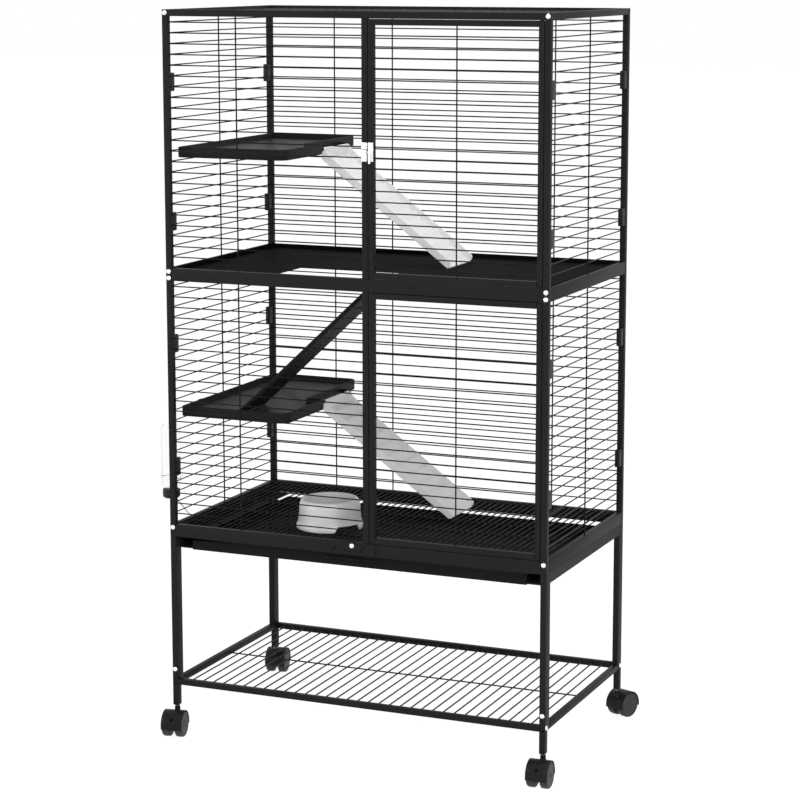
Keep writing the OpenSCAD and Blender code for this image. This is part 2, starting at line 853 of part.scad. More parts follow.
// Plan of a platform, drawn smaller all round by the inset.
module platform_plan(inset) {
    r = platform_r - inset;
    w = platform_w - 2 * inset;
    d = platform_d - 2 * inset;
    wb = platform_w - notch_w - 2 * inset;
    yn = notch_y - inset;
    rb = 14 - inset / 2;
    translate([inset, inset]) union() {
        square([w - r, yn - inset]);
        translate([0, r]) square([w, yn - inset - r]);
        translate([w - r, r]) circle(r = r);
        square([wb, d - rb]);
        square([wb - rb, d]);
        translate([wb - rb, d - rb]) circle(r = rb);
    }
}

// A platform is a moulded plate with a rim, two hooks over a side wire and two
// ears at its narrow part for the ramp's rod.
module platform(z) {
    hook_z = hook_drop + wire / 2 + 0.2;
    ear = rod_d + 4;
    ear_x = platform_w - notch_w + pivot_out;
    translate([platform_x, platform_y, z]) difference() {
        union() {
            linear_extrude(height = platform_h) platform_plan(0);
            for (y = [90, platform_d - 70]) {
                translate([-11, y, hook_z]) cube([12, 14, 2]);
                translate([-11, y, hook_z - 7]) cube([1.6, 14, 9]);
            }
            for (y = [-ramp_ear - 0.5, ramp_w + 0.5])
                translate([ear_x, ramp_y - platform_y + y, pivot_rise]) {
                    translate([-pivot_out - 1, 0, -ear / 2]) cube([pivot_out + 1, ramp_ear, ear]);
                    rotate([-90, 0, 0]) cylinder(h = ramp_ear, d = ear);
                }
        }
        translate([0, 0, platform_floor])
            linear_extrude(height = platform_h) platform_plan(rim_t);
        translate([0, 0, -1])
            linear_extrude(height = platform_floor - platform_t + 1) platform_plan(rim_t);
        translate([ear_x, ramp_y - platform_y - 20, pivot_rise])
            rotate([-90, 0, 0])
            cylinder(h = ramp_w + 40, d = rod_d + 2 * fit);
    }
}

module upper_platform()
    color([0.2, 0.2, 0.21]) placed() platform(upper_platform_z);

module lower_platform()
    color([0.2, 0.2, 0.21]) placed() platform(lower_platform_z);

// Point in a ramp's side view, from lengths along the sole and square to it.
function on_slope(along, square_to, angle) =
    [along * cos(angle) + square_to * sin(angle), square_to * cos(angle) - along * sin(angle)];

// Plastic ramp. It hangs from a rod by an upright plate, and a stepped sole
// with side flanges slopes from the plate's lower edge down to the floor.
module plastic_ramp(z, floor_z) {
    drop = z + pivot_rise - hang - floor_z - rest_gap;
    angle = asin(drop / ramp_len);
    pitch = (ramp_len - 2 * step_margin) / ramp_steps;
    r = flange_end;
    step_sides = [[0.8, 0], [0.12, step_h], [0, step_h], [0, 0]];
    translate([ramp_x, ramp_y, z + pivot_rise - hang]) union() {
        translate([-ramp_t / 2, ramp_t / 2, 0]) cube([ramp_t, ramp_w - ramp_t, hang]);
        translate([0, -ramp_ear - 0.4, hang])
            rotate([-90, 0, 0])
            cylinder(h = ramp_w + 2 * ramp_ear + 0.8, d = rod_d);
        for (y = [ramp_t, ramp_w])
            translate([0, y, 0]) rotate([90, 0, 0]) linear_extrude(height = ramp_t)
                polygon(concat(
                    [[0, 0], [-ramp_t / 2, 0], [-ramp_t / 2, hang + 2], [4, hang + 2], [7, flange_h + 2]],
                    [on_slope(8, flange_h, angle)],
                    [for (a = [90:-15:0])
                        on_slope(ramp_len - r * (1 - cos(a)), flange_h - r * (1 - sin(a)), angle)],
                    [on_slope(ramp_len, 0, angle)]));
        translate([0, ramp_w - ramp_t / 2, 0]) rotate([90, 0, 0]) linear_extrude(height = ramp_w - ramp_t)
            polygon(concat(
                [[0, 0], on_slope(ramp_len, 0, angle), on_slope(ramp_len - 1, ramp_t, angle)],
                [for (i = [ramp_steps - 1:-1:0], side = step_sides)
                    on_slope(step_margin + (i + side[0]) * pitch, ramp_t + side[1], angle)],
                [on_slope(-1, ramp_t, angle)]));
    }
}

module upper_ramp()
    color([0.84, 0.84, 0.84]) placed() plastic_ramp(upper_platform_z, pan_z);

module lower_ramp()
    color([0.84, 0.84, 0.84]) placed() plastic_ramp(lower_platform_z, base_top);

// The mesh ramp is a plate with rows of diamond holes, folded up along both
// sides, and hangs from a rod under the upper floor.
module mesh_ramp() {
    plate_len = mesh_len - 4;
    step = diamond_pitch / 2;
    rows = floor((plate_len - 2 * mesh_margin) / step);
    columns = floor((mesh_w - 2 * mesh_margin) / diamond_pitch);
    first_y = (mesh_w - columns * diamond_pitch) / 2;
    color([0.14, 0.14, 0.15]) placed()
        translate([mesh_x, mesh_y, mesh_floor + rest_gap]) rotate([0, -mesh_angle, 0]) union() {
            linear_extrude(height = mesh_t) difference() {
                square([plate_len, mesh_w]);
                for (i = [0:rows], j = [0:columns - i % 2])
                    translate([mesh_margin + i * step, first_y + (j + (i % 2) / 2) * diamond_pitch])
                        rotate(45)
                        square(diamond, center = true);
            }
            for (y = [0, mesh_w - mesh_t])
                cube_at([0, y, 0], [plate_len, mesh_t, mesh_edge]);
            for (y = [0, mesh_w - 2 * mesh_t])
                cube_at([mesh_len - lug, y, -mesh_t], [lug, 2 * mesh_t, 2 * mesh_t]);
            translate([mesh_len, -ear_t - 0.6, 0])
                rotate([-90, 0, 0])
                cylinder(h = mesh_w + 2 * ear_t + 1.2, d = rod_d - 1);
        }
}

// Bowl and bottle

// The bowl is moulded with two skins: an outer wall on a flared skirt, and a
// round hollow inside it. A wide finger notch opens the skirt at one side.
module bowl() {
    shoulder = 10;
    corner = 12;
    skin = 3;
    inner_r = mouth_r - shoulder - 1;
    top = bowl_h - shoulder;
    color([0.82, 0.82, 0.82]) placed() translate([bowl_x, bowl_y, base_top + rest_gap]) difference() {
        rotate_extrude($fn = 96) difference() {
            union() {
                polygon([[0, 0], [bowl_r, 0], [bowl_r, 6], [bowl_r - 3.5, 13], [mouth_r + 1, 24],
                    [mouth_r, top], [mouth_r, top + 0.1], [0, top + 0.1]]);
                translate([mouth_r - shoulder, top]) circle(r = shoulder);
                square([mouth_r - shoulder, bowl_h]);
            }
            translate([0, bowl_floor + corner]) square([inner_r, bowl_h]);
            translate([0, bowl_floor]) square([inner_r - corner, corner + 1]);
            translate([inner_r - corner, bowl_floor + corner]) circle(r = corner);
            polygon([[0, -1], [bowl_r - skin, -1], [bowl_r - skin, 5], [mouth_r - 2, 14],
                [mouth_r - skin, top - 4], [inner_r + skin + 0.5, top - 4], [inner_r + skin, 18],
                [inner_r - 6, bowl_floor - skin], [0, bowl_floor - skin]]);
        }
        rotate([0, 0, notch_turn]) translate([mouth_r - 8, 0, -1]) rotate([90, 0, 90])
            linear_extrude(height = 20)
            polygon([[-notch_foot / 2, 0], [notch_foot / 2, 0], [notch_top / 2, notch_h + 1],
                [-notch_top / 2, notch_h + 1]]);
    }
}

neck_r = cap_r - 2.5;
neck_h = cap_h / 2;

// The bottle stands on its neck and is open there.
module bottle()
    color([0.93, 0.94, 0.95, 0.4]) placed() translate([-bottle_out, bottle_y, bottle_z]) rotate_extrude()
        polygon([[neck_r - 0.1 - bottle_t, 0.1 - neck_h], [neck_r - 0.1, 0.1 - neck_h], [neck_r - 0.1, 3],
            [bottle_r - 2, 8], [bottle_r, 12], [bottle_r, bottle_h - 5], [bottle_r - 5, bottle_h],
            [0, bottle_h], [0, bottle_h - bottle_t], [bottle_r - 5.4, bottle_h - bottle_t],
            [bottle_r - bottle_t, bottle_h - 5.4], [bottle_r - bottle_t, 12.4], [bottle_r - 2.6, 9],
            [neck_r - 0.1 - bottle_t, 3.6]]);

// The cap is screwed over the bottle's neck.
module bottle_cap()
    color([0.1, 0.1, 0.1]) placed() difference() {
        translate([-bottle_out, bottle_y, bottle_z - cap_h]) rotate_extrude()
            polygon([[0, 0], [cap_r - 3, 0], [cap_r, 3], [cap_r, cap_h], [neck_r, cap_h],
                [neck_r, cap_h - neck_h], [0, cap_h - neck_h]]);
        spout_line() cylinder(h = 60, d = spout_d + 0.1);
    }

// The drinking tube leaves the cap aslant and passes under the lowest side wire.
spout_z = base_top + wire_first + 1.2;
module spout_line() {
    translate([0, bottle_y, spout_z]) rotate([0, -45, 0]) children();
}

module drinking_tube()
    color([0.8, 0.8, 0.8]) placed() spout_line() translate([0, 0, -20]) difference() {
        cylinder(h = 50, d = spout_d);
        translate([0, 0, -1]) cylinder(h = 60, d = spout_d - 1.2);
    }

// Wire band round the bottle with two arms that reach to the side panel.
module bottle_band() {
    band_d = 1.8;
    reach = wire_y - wire / 2 - rest_gap;
    color([0.7, 0.7, 0.7]) placed() translate([-bottle_out, bottle_y, bottle_z + 24]) union() {
        rotate_extrude() translate([bottle_r + 1, 0]) circle(d = band_d);
        for (s = [-1, 1])
            translate([2, s * (bottle_r + 1), 0])
                rotate([0, 90, 0])
                cylinder(h = bottle_out + reach - 2, d = band_d);
    }
}

// Casters, drawn about the stem with the axle in front of it.

module along_axle(r, x1, x2) {
    translate([x1, -trail, wheel_r])
        rotate([0, 90, 0])
        cylinder(h = x2 - x1, r = r);
}

module hood() {
    rise = foot_z - boss_top;
    difference() {
        union() {
            difference() {
                along_axle(hood_r, -hood_w / 2, hood_w / 2);
                translate([-hood_w, -trail - hood_r - 1, -hood_r])
                    cube([2 * hood_w, 2 * hood_r + 2, wheel_r + hood_r - hood_skirt]);
            }
            along_axle(web_r, -web_w / 2, web_w / 2);
            translate([0, 0, wheel_r + 10]) cylinder(h = boss_top - wheel_r - 10, d = neck_d);
            translate([0, 0, boss_top - 1]) cylinder(h = rise - 0.2 + 1, d = neck_d - 1);
            translate([0, 0, boss_top - 1]) cylinder(h = rise + stem_grip + 1, d = stem_d);
        }
        for (x = [web_w / 2, -hood_w / 2 - 5])
            along_axle(wheel_r + wheel_gap, x, x + hood_w / 2 + 5 - web_w / 2);
        along_axle(axle_d / 2 + fit, -hood_w, hood_w);
        translate([0, -trail, wheel_r])
            rotate([60, 0, 0])
            translate([0, 0, hood_r - 6])
            cylinder(h = 12, d = web_w - 3);
    }
}

// Two wheels with a rounded tread and a raised hub, fixed to one axle.
module wheel_pair() {
    c = 3;
    a = web_w / 2 + wheel_gap;
    translate([0, -trail, wheel_r]) rotate([0, 90, 0]) union() {
        cylinder(h = 2 * a + 2, d = axle_d, center = true);
        for (m = [0, 1])
            mirror([0, 0, m])
                translate([0, 0, a])
                rotate_extrude()
                polygon([[0, 0], [wheel_r - c, 0], [wheel_r, c], [wheel_r, wheel_w - c],
                    [wheel_r - c, wheel_w], [wheel_r - 5, wheel_w], [wheel_r - 6, wheel_w - 1.5],
                    [10, wheel_w - 1.5], [9, wheel_w], [0, wheel_w]]);
    }
}

module at_caster(x, y, turn) {
    translate([x, y, 0]) rotate([0, 0, turn]) children();
}

left_stem = tube / 2;
right_stem = body_w - tube / 2;
front_stem = foot_d / 2;
back_stem = body_d - foot_d / 2;

module hood_front_left()
    color([0.1, 0.1, 0.1]) placed() at_caster(left_stem, front_stem, turn_front_left) hood();

module hood_front_right()
    color([0.1, 0.1, 0.1]) placed() at_caster(right_stem, front_stem, turn_front_right) hood();

module hood_back_left()
    color([0.1, 0.1, 0.1]) placed() at_caster(left_stem, back_stem, turn_back_left) hood();

module hood_back_right()
    color([0.1, 0.1, 0.1]) placed() at_caster(right_stem, back_stem, turn_back_right) hood();

module wheels_front_left()
    color([0.12, 0.12, 0.12]) placed() at_caster(left_stem, front_stem, turn_front_left) wheel_pair();

module wheels_front_right()
    color([0.12, 0.12, 0.12]) placed() at_caster(right_stem, front_stem, turn_front_right) wheel_pair();

module wheels_back_left()
    color([0.12, 0.12, 0.12]) placed() at_caster(left_stem, back_stem, turn_back_left) wheel_pair();

module wheels_back_right()
    color([0.12, 0.12, 0.12]) placed() at_caster(right_stem, back_stem, turn_back_right) wheel_pair();

// Screws and clips

// Round-headed screw whose head rests on the plane z = 0. It grips the tube's
// wall through anything of the given thickness that lies on it.
module screw(through = 0) {
    ball = (head_d * head_d / 4 + head_h * head_h) / (2 * head_h);
    rotate_extrude() union() {
        intersection() {
            translate([0, head_h - ball]) circle(r = ball, $fn = 96);
            square([head_d / 2, head_h]);
        }
        translate([0, -through - tube_wall - 1]) square([screw_d / 2, through + tube_wall + 1.5]);
    }
}

module screws()
    color([0.95, 0.95, 0.95]) placed() {
        for (x = [tube / 2, body_w - tube / 2]) {
            for (z = concat([leg_screw_z, base_screw_z, top_z + top_rail_h / 2], mid_screws)) {
                translate([x, 0, z]) rotate([90, 0, 0]) screw();
                translate([x, body_d, z]) rotate([-90, 0, 0]) screw();
            }
        }
        translate([body_w / 2, -2, base_screw_z]) rotate([90, 0, 0]) screw(2);
        for (y = [foot_d / 2, body_d - foot_d / 2]) {
            translate([0, y, side_screw_z]) rotate([0, -90, 0]) screw();
            translate([body_w, y, side_screw_z]) rotate([0, 90, 0]) screw();
        }
    }

// A clip lies against a post and is grooved for the level wires that pass it.
module panel_clip(x, y, z) {
    difference() {
        translate([x - 5, y, z - clip_h / 2]) cube([10, clip_d, clip_h]);
        for (low = [base_top, mid_top], i = [0:wire_rows - 1]) {
            zw = low + wire_first + i * wire_pitch;
            if (abs(zw - z) < clip_h / 2 + wire)
                translate([x, y - 1, zw])
                    rotate([-90, 0, 0])
                    cylinder(h = clip_d + 2, d = wire + 0.1);
        }
    }
}

module panel_clips()
    color([0.1, 0.1, 0.1]) placed()
        for (z = clip_heights, x = [tube / 2, body_w - tube / 2], y = [tube, back_y - clip_d])
            panel_clip(x, y, z);

post_front_left();
post_front_right();
post_back_left();
post_back_right();
leg_front_left();
leg_front_right();
leg_back_left();
leg_back_right();
top_frame();
mid_rail_front();
mid_rail_back();
mid_rail_left();
mid_rail_right();
base_frame();
shelf_frame();
shelf_wires();
upper_divider();
lower_divider();
upper_front_panel();
lower_front_panel();
upper_left_panel();
lower_left_panel();
upper_right_panel();
lower_right_panel();
upper_back_panel();
lower_back_panel();
top_panel();
upper_floor();
wire_floor();
tray();
runner_left();
runner_right();
upper_door_frame();
upper_door_wires();
lower_door_frame();
lower_door_wires();
latch_keeper();
latch_plate();
latch_lever();
lock_plate();
upper_platform();
lower_platform();
upper_ramp();
lower_ramp();
mesh_ramp();
bowl();
bottle();
bottle_cap();
drinking_tube();
bottle_band();
hood_front_left();
hood_front_right();
hood_back_left();
hood_back_right();
wheels_front_left();
wheels_front_right();
wheels_back_left();
wheels_back_right();
screws();
panel_clips();
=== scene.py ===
# %% [markdown]
# # A two-tier small animal cage, dressed for a picture
#
# The construction of this cage is already finished as exact solids: posts,
# rails, doors, ramps and casters, each on the body that it moves with. This
# lesson gives that construction its looks in Blender. Each step first says
# what the real thing is like and why a way of making it was chosen. Then a
# short cell makes it and prints what it made.

# %% Load the construction
import json
import math

import bpy
import numpy as np
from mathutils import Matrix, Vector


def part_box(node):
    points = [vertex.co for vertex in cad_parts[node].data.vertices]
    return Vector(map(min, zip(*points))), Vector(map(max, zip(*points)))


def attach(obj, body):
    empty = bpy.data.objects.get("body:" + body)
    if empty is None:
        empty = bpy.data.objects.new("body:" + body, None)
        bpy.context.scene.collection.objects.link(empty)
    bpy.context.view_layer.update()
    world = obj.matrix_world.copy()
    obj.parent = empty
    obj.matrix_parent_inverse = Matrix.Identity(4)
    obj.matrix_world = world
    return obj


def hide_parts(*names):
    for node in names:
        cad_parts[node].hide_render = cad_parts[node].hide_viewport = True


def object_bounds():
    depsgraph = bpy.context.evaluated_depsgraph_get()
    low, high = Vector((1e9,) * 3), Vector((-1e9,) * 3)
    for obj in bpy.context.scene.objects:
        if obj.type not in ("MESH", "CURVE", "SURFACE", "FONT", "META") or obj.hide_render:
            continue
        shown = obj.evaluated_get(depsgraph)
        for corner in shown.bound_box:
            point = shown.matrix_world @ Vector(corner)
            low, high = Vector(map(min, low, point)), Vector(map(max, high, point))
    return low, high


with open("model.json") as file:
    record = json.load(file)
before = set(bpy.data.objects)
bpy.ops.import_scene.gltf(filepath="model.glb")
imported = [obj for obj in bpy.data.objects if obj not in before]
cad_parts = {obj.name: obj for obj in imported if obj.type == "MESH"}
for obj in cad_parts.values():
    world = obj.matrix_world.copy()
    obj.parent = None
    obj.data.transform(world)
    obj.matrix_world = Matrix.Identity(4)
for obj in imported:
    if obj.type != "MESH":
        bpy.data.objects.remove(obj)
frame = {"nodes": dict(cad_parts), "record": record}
cad_low, cad_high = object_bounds()
body_of_node = {
    node: body
    for body, members in frame["record"]["behaviour"]["bodies"].items()
    for node in members
}

# %% [markdown]
# ## The camera
#
# The picture was taken from the front, a little to the right and a little
# above the cage, with a long lens. A long lens can be told by its nearly
# parallel verticals. The camera stands about five metres off, so that the
# near and far corners shrink by the right amount.

# %% Place the camera
MM = 0.001
CAMERA_PLACE = (1.8963, -4.3664, 1.5537)
CAMERA_TURN = 22.98
CAMERA_DIP = 9.288
CAMERA_LENS = 108.32
CAMERA_SHIFT = (-0.02, -0.06)

camera_data = bpy.data.cameras.new("camera")
camera = bpy.data.objects.new("camera", camera_data)
bpy.context.scene.collection.objects.link(camera)
camera.location = CAMERA_PLACE
camera.rotation_euler = (math.radians(90 - CAMERA_DIP), 0, math.radians(CAMERA_TURN))
camera_data.sensor_width = 36
camera_data.lens = CAMERA_LENS
camera_data.shift_x, camera_data.shift_y = CAMERA_SHIFT
camera_data.clip_end = 60
bpy.context.scene.camera = camera
print("camera: lens", CAMERA_LENS, "mm, turned", CAMERA_TURN, "degrees")

# %% [markdown]
# ## Sizes that the pieces share
#
# The frame is measured from its nodes, so that nothing here can drift from
# the solids. Only the rules of the pattern, such as the spacing of the bars,
# are values of their own.

# %% Measure the frame
def span(node):
    """Lowest and highest corner of a node as two arrays."""
    low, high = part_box(node)
    return np.array(low), np.array(high)


POST_LOW, POST_HIGH = span("post_front_left")
LEFT = POST_LOW[0]
FRONT = POST_LOW[1]
RIGHT = span("post_front_right")[1][0]
BACK = span("post_back_left")[1][1]
TUBE = POST_HIGH[0] - POST_LOW[0]
BASE_TOP = span("base_frame")[1][2]
MID_TOP = span("mid_rail_front")[1][2]
TIER = span("upper_divider")[1][2] - MID_TOP
print("frame:", [round(v, 4) for v in (LEFT, RIGHT, FRONT, BACK, BASE_TOP, MID_TOP, TIER)])

# %% [markdown]
# ## From arrays to a mesh
#
# Every new piece is a surface worked out with numpy. A surface is a grid of
# points with two parameters, and its faces follow from the grid alone. One
# class gathers such surfaces, so that a piece with twenty bars is still one
# object. It also turns a closed surface the right way round: if the volume
# that the faces enclose comes out negative, the faces are reversed.

# %% Gather surfaces into one piece
class Piece:
    """Collects closed surfaces and makes one mesh object of them."""

    def __init__(self):
        self.points = []
        self.faces = []
        self.count = 0

    def add(self, points, faces):
        """Adds one closed surface, turned so that its faces look outwards."""
        points = np.asarray(points, float)
        if signed_volume(points, faces) < 0:
            faces = [face[::-1] for face in faces]
        self.points.append(points)
        self.faces += [[i + self.count for i in face] for face in faces]
        self.count += len(points)
        return self

    def make(self, name, material, slot, nodes=(), body=None, smooth=40):
        """Makes the object, hides the nodes it stands for and hangs it on the body it rides on."""
        mesh = bpy.data.meshes.new(name)
        mesh.from_pydata(np.concatenate(self.points).tolist(), [], self.faces)
        mesh.materials.append(material)
        piece = bpy.data.objects.new(name, mesh)
        bpy.context.scene.collection.objects.link(piece)
        mesh.shade_smooth()
        mesh.set_sharp_from_angle(angle=math.radians(smooth))
        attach(piece, body or body_of_node[nodes[0]])
        if nodes:
            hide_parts(*nodes)
        return piece


def signed_volume(points, faces):
    """Sum of the tetrahedra between the middle and each fan triangle of a face."""
    middle = points.mean(axis=0)
    total = 0.0
    by_size = {}
    for face in faces:
        by_size.setdefault(len(face), []).append(face)
    for size, group in by_size.items():
        corners = points[np.array(group)] - middle
        for k in range(1, size - 1):
            triple = np.cross(corners[:, k], corners[:, k + 1])
            total += float(np.einsum("ij,ij->", corners[:, 0], triple))
    return total / 6


def grid_faces(rows, columns, around=True, along=False):
    """Quads of a grid whose columns, and perhaps rows, close on themselves."""
    i = np.arange(rows if along else rows - 1)[:, None]
    j = np.arange(columns if around else columns - 1)[None, :]
    next_i = (i + 1) % rows
    next_j = (j + 1) % columns
    quads = [i * columns + j, i * columns + next_j, next_i * columns + next_j, next_i * columns + j]
    return np.stack([np.broadcast_to(q, (i.size, j.size)) for q in quads], -1).reshape(-1, 4).tolist()


def tube_surface(rings):
    """Rings of equal size, joined by quads and closed by one flat face at each end."""
    rows, columns = rings.shape[:2]
    faces = grid_faces(rows, columns)
    faces.append(list(range(columns)))
    faces.append(list(range((rows - 1) * columns, rows * columns)))
    return rings.reshape(-1, 3), faces


print("helpers: Piece, grid_faces, tube_surface")

# %% [markdown]
# ## Bars with soft edges
#
# A square tube isn't sharp: its corners are rolled to a radius of about a
# millimetre, and that radius draws the thin light line along every edge. A
# bevel modifier would do it too, but a direct formula keeps the count of
# faces known. The bar is an inner box swept by a ball. Each ring is a
# rectangle with round corners, and the last rings pull in like the ball does.

# %% Round bars
def rounded_bar(low, high, radius, steps=3):
    """Box with all edges rounded: an inner box, larger by a ball of this radius.

    The tilt on the ball gives each ring: its corner radius is radius times
    the cosine, and it lies radius times the sine beyond the inner box. The
    tilt stops short of a right angle, so no points fall together. The long
    axis is the one with the largest size.
    """
    low, high = np.asarray(low, float), np.asarray(high, float)
    axis = int(np.argmax(high - low))
    u, v = [k for k in range(3) if k != axis]
    radius = min(radius, (high - low).min() / 2 * 0.98)
    corner = np.linspace(0, math.pi / 2, steps + 1)
    turns = np.concatenate([corner + k * math.pi / 2 for k in range(4)])
    quarter = np.repeat(np.arange(4), steps + 1)
    sign_u = np.array([1, -1, -1, 1])[quarter]
    sign_v = np.array([1, 1, -1, -1])[quarter]
    half = (high - low) / 2 - radius
    middle = (low + high) / 2
    tilt = np.linspace(0, math.radians(80), steps + 1)
    lift = np.concatenate([tilt[::-1], tilt])
    side = np.repeat([-1, 1], steps + 1)
    rings = np.zeros((len(lift), len(turns), 3))
    reach = radius * np.cos(lift)[:, None]
    rings[..., u] = middle[u] + sign_u * half[u] + reach * np.cos(turns)
    rings[..., v] = middle[v] + sign_v * half[v] + reach * np.sin(turns)
    rings[..., axis] = (middle[axis] + side * (half[axis] + radius * np.sin(lift)))[:, None]
    return tube_surface(rings)


def round_rod(start, end, radius, sides):
    """Straight round rod between two points, with flat ends."""
    start, end = np.asarray(start, float), np.asarray(end, float)
    along = (end - start) / np.linalg.norm(end - start)
    helper = np.array([0, 0, 1.0]) if abs(along[2]) < 0.9 else np.array([1.0, 0, 0])
    across = np.cross(along, helper)
    across /= np.linalg.norm(across)
    other = np.cross(along, across)
    turn = np.linspace(0, 2 * math.pi, sides, endpoint=False)
    ring = radius * (np.cos(turn)[:, None] * across + np.sin(turn)[:, None] * other)
    return tube_surface(np.stack([start + ring, end + ring]))


def bead(centre, size, sides, rings):
    """Small egg at a weld: a ball stretched to the three half sizes given."""
    tilt = np.linspace(0, math.pi, rings + 2)[1:-1]
    turn = np.linspace(0, 2 * math.pi, sides, endpoint=False)
    shape = np.zeros((rings, sides, 3))
    shape[..., 0] = np.sin(tilt)[:, None] * np.cos(turn)
    shape[..., 1] = np.sin(tilt)[:, None] * np.sin(turn)
    shape[..., 2] = np.cos(tilt)[:, None]
    return tube_surface(shape * np.asarray(size) + np.asarray(centre))


print("a rounded bar has", len(rounded_bar((0, 0, 0), (1, 1, 9), 0.1)[1]), "faces")

# %% [markdown]
# ## Rounded outlines
#
# A moulded part is drawn from an outline of a few corners, and none of them is
# sharp on the real thing. Rounding is worked out: each corner is replaced by an
# arc that touches both of its sides. A slab is such an outline with a
# thickness, and its rim is rounded off too.

# %% Outlines and slabs
def rounded_profile(corners, radius, steps):
    """Open outline whose inner corners are replaced by touching arcs.

    The arc's ends lie radius times the tangent of half the turn away from
    the corner, and its points follow a quadratic curve between them, which is
    within a hair of the true arc at these sizes.
    """
    corners = np.asarray(corners, float)
    radii = np.broadcast_to(radius, len(corners))
    points = [corners[0]]
    for before, corner, after, r in zip(corners[:-2], corners[1:-1], corners[2:], radii[1:-1]):
        back, ahead = before - corner, after - corner
        room = min(np.linalg.norm(back), np.linalg.norm(ahead)) * 0.49
        reach = min(r, room)
        start = corner + back / np.linalg.norm(back) * reach
        stop = corner + ahead / np.linalg.norm(ahead) * reach
        t = np.linspace(0, 1, steps + 1)[:, None]
        points += list((1 - t) ** 2 * start + 2 * t * (1 - t) * corner + t**2 * stop)
    points.append(corners[-1])
    return np.array(points)


def slab(outline, across_low, across_high, round_off):
    """Upright slab from an outline of along and height, with its rim rounded off.

    Seven copies of the outline lie side by side. Each is pulled inwards by
    the rounding times one less the sine of its share of a half turn, so the
    first and the last are smaller and the middle one is full.
    """
    outline = np.asarray(outline, float)
    before, after = np.roll(outline, 1, 0), np.roll(outline, -1, 0)
    along = after - before
    normal = np.column_stack([along[:, 1], -along[:, 0]]) / np.linalg.norm(along, axis=1)[:, None]
    area = np.sum(outline[:, 0] * after[:, 1] - after[:, 0] * outline[:, 1])
    inward = -normal if area > 0 else normal
    t = np.linspace(0, math.pi, 7)[:, None]
    halves = [t < math.pi / 2 - 0.1, t > math.pi / 2 + 0.1]
    centres = [across_low + round_off, across_high - round_off]
    middle = np.select(halves, centres, (across_low + across_high) / 2)
    pulled = outline + inward * (round_off * (1 - np.sin(t)))[..., None]
    across = np.broadcast_to(middle - round_off * np.cos(t), pulled.shape[:2])
    return tube_surface(np.stack([pulled[..., 0], across, pulled[..., 1]], -1))


rounded_corner = rounded_profile([(0, 0), (1, 0), (1, 1)], 0.2, 4)
print("a corner rounded in four steps:", len(rounded_corner) - 2, "points")

# %% [markdown]
# ## Turned shapes
#
# A bowl, a bottle, a wheel or a screw head is a profile turned round an axis.
# The profile is a list of a few radii and heights, rounded where it bends.

# %% Revolves
def turned(profile, centre, sides, axis=2):
    """Profile of radius and height turned round an axis through the centre.

    A profile starts and ends a little off the axis, and a flat face closes
    the small ring that is left there.
    """
    profile = np.asarray(profile, float)
    turn = np.linspace(0, 2 * math.pi, sides, endpoint=False)
    radius = profile[:, 0][:, None]
    rings = np.zeros((len(profile), sides, 3))
    u, v = {0: (1, 2), 1: (2, 0), 2: (0, 1)}[axis]
    rings[..., u] = radius * np.cos(turn)
    rings[..., v] = radius * np.sin(turn)
    rings[..., axis] = profile[:, 1][:, None]
    return tube_surface(rings + np.asarray(centre))


def carried(points, place, turn):
    """Turns a surface's points about the upright axis and moves them to a place."""
    c, s = math.cos(turn), math.sin(turn)
    spin = np.array([[c, -s, 0], [s, c, 0], [0, 0, 1]])
    return np.asarray(points) @ spin.T + np.asarray(place)


print("helpers: turned, carried")

# %% [markdown]
# ## Finishes
#
# A finish is a small net of shader nodes. Two things keep it readable. A
# wrapper lets numbers that vary over a surface be added and multiplied like
# ordinary numbers, and one method makes every node.

# %% Shader maths in plain expressions
class Number:
    """A shader socket that takes part in sums; each operator adds one Math node."""

    def __init__(self, net, socket):
        self.net = net
        self.socket = socket

    def combined(self, operation, other):
        """The outcome of one Math node, fed with this number and another one."""
        made = self.net.node("ShaderNodeMath", {"operation": operation}, {0: self, 1: other})
        return Number(self.net, made.outputs[0])

    def __add__(self, other):
        return self.combined("ADD", other)

    def __sub__(self, other):
        return self.combined("SUBTRACT", other)

    def __mul__(self, other):
        return self.combined("MULTIPLY", other)

    __radd__ = __add__


class Net:
    """A tree of shader nodes, emptied and ready to be filled."""

    def __init__(self, owner):
        owner.use_nodes = True
        self.tree = owner.node_tree
        self.tree.nodes.clear()

    def node(self, kind, settings, inputs):
        """Makes a node, sets it, then gives its sockets their values or links."""
        made = self.tree.nodes.new(kind)
        for key, value in settings.items():
            setattr(made, key, value)
        for key, value in inputs.items():
            socket = value.socket if isinstance(value, Number) else value
            if isinstance(socket, bpy.types.NodeSocket):
                self.tree.links.new(socket, made.inputs[key])
            else:
                made.inputs[key].default_value = socket
        return made

    def looked_at(self):
        """One where the camera looks, straight on, in a reflection or through glass, else zero."""
        path = self.node("ShaderNodeLightPath", {}, {})
        kinds = ("Is Camera Ray", "Is Glossy Ray", "Is Transmission Ray")
        camera, glossy, through = (Number(self, path.outputs[kind]) for kind in kinds)
        return camera + glossy + through


print("helpers: Number, Net")

# %% [markdown]
# ## One material
#
# A material is such a net with a Principled shader at its end. What varies
# over a surface comes from noise: patches in the colour, swings of the
# roughness and fine bumps. All patterns read Object coordinates, which are
# metres here, so a grain of one millimetre has a noise scale near one
# thousand.

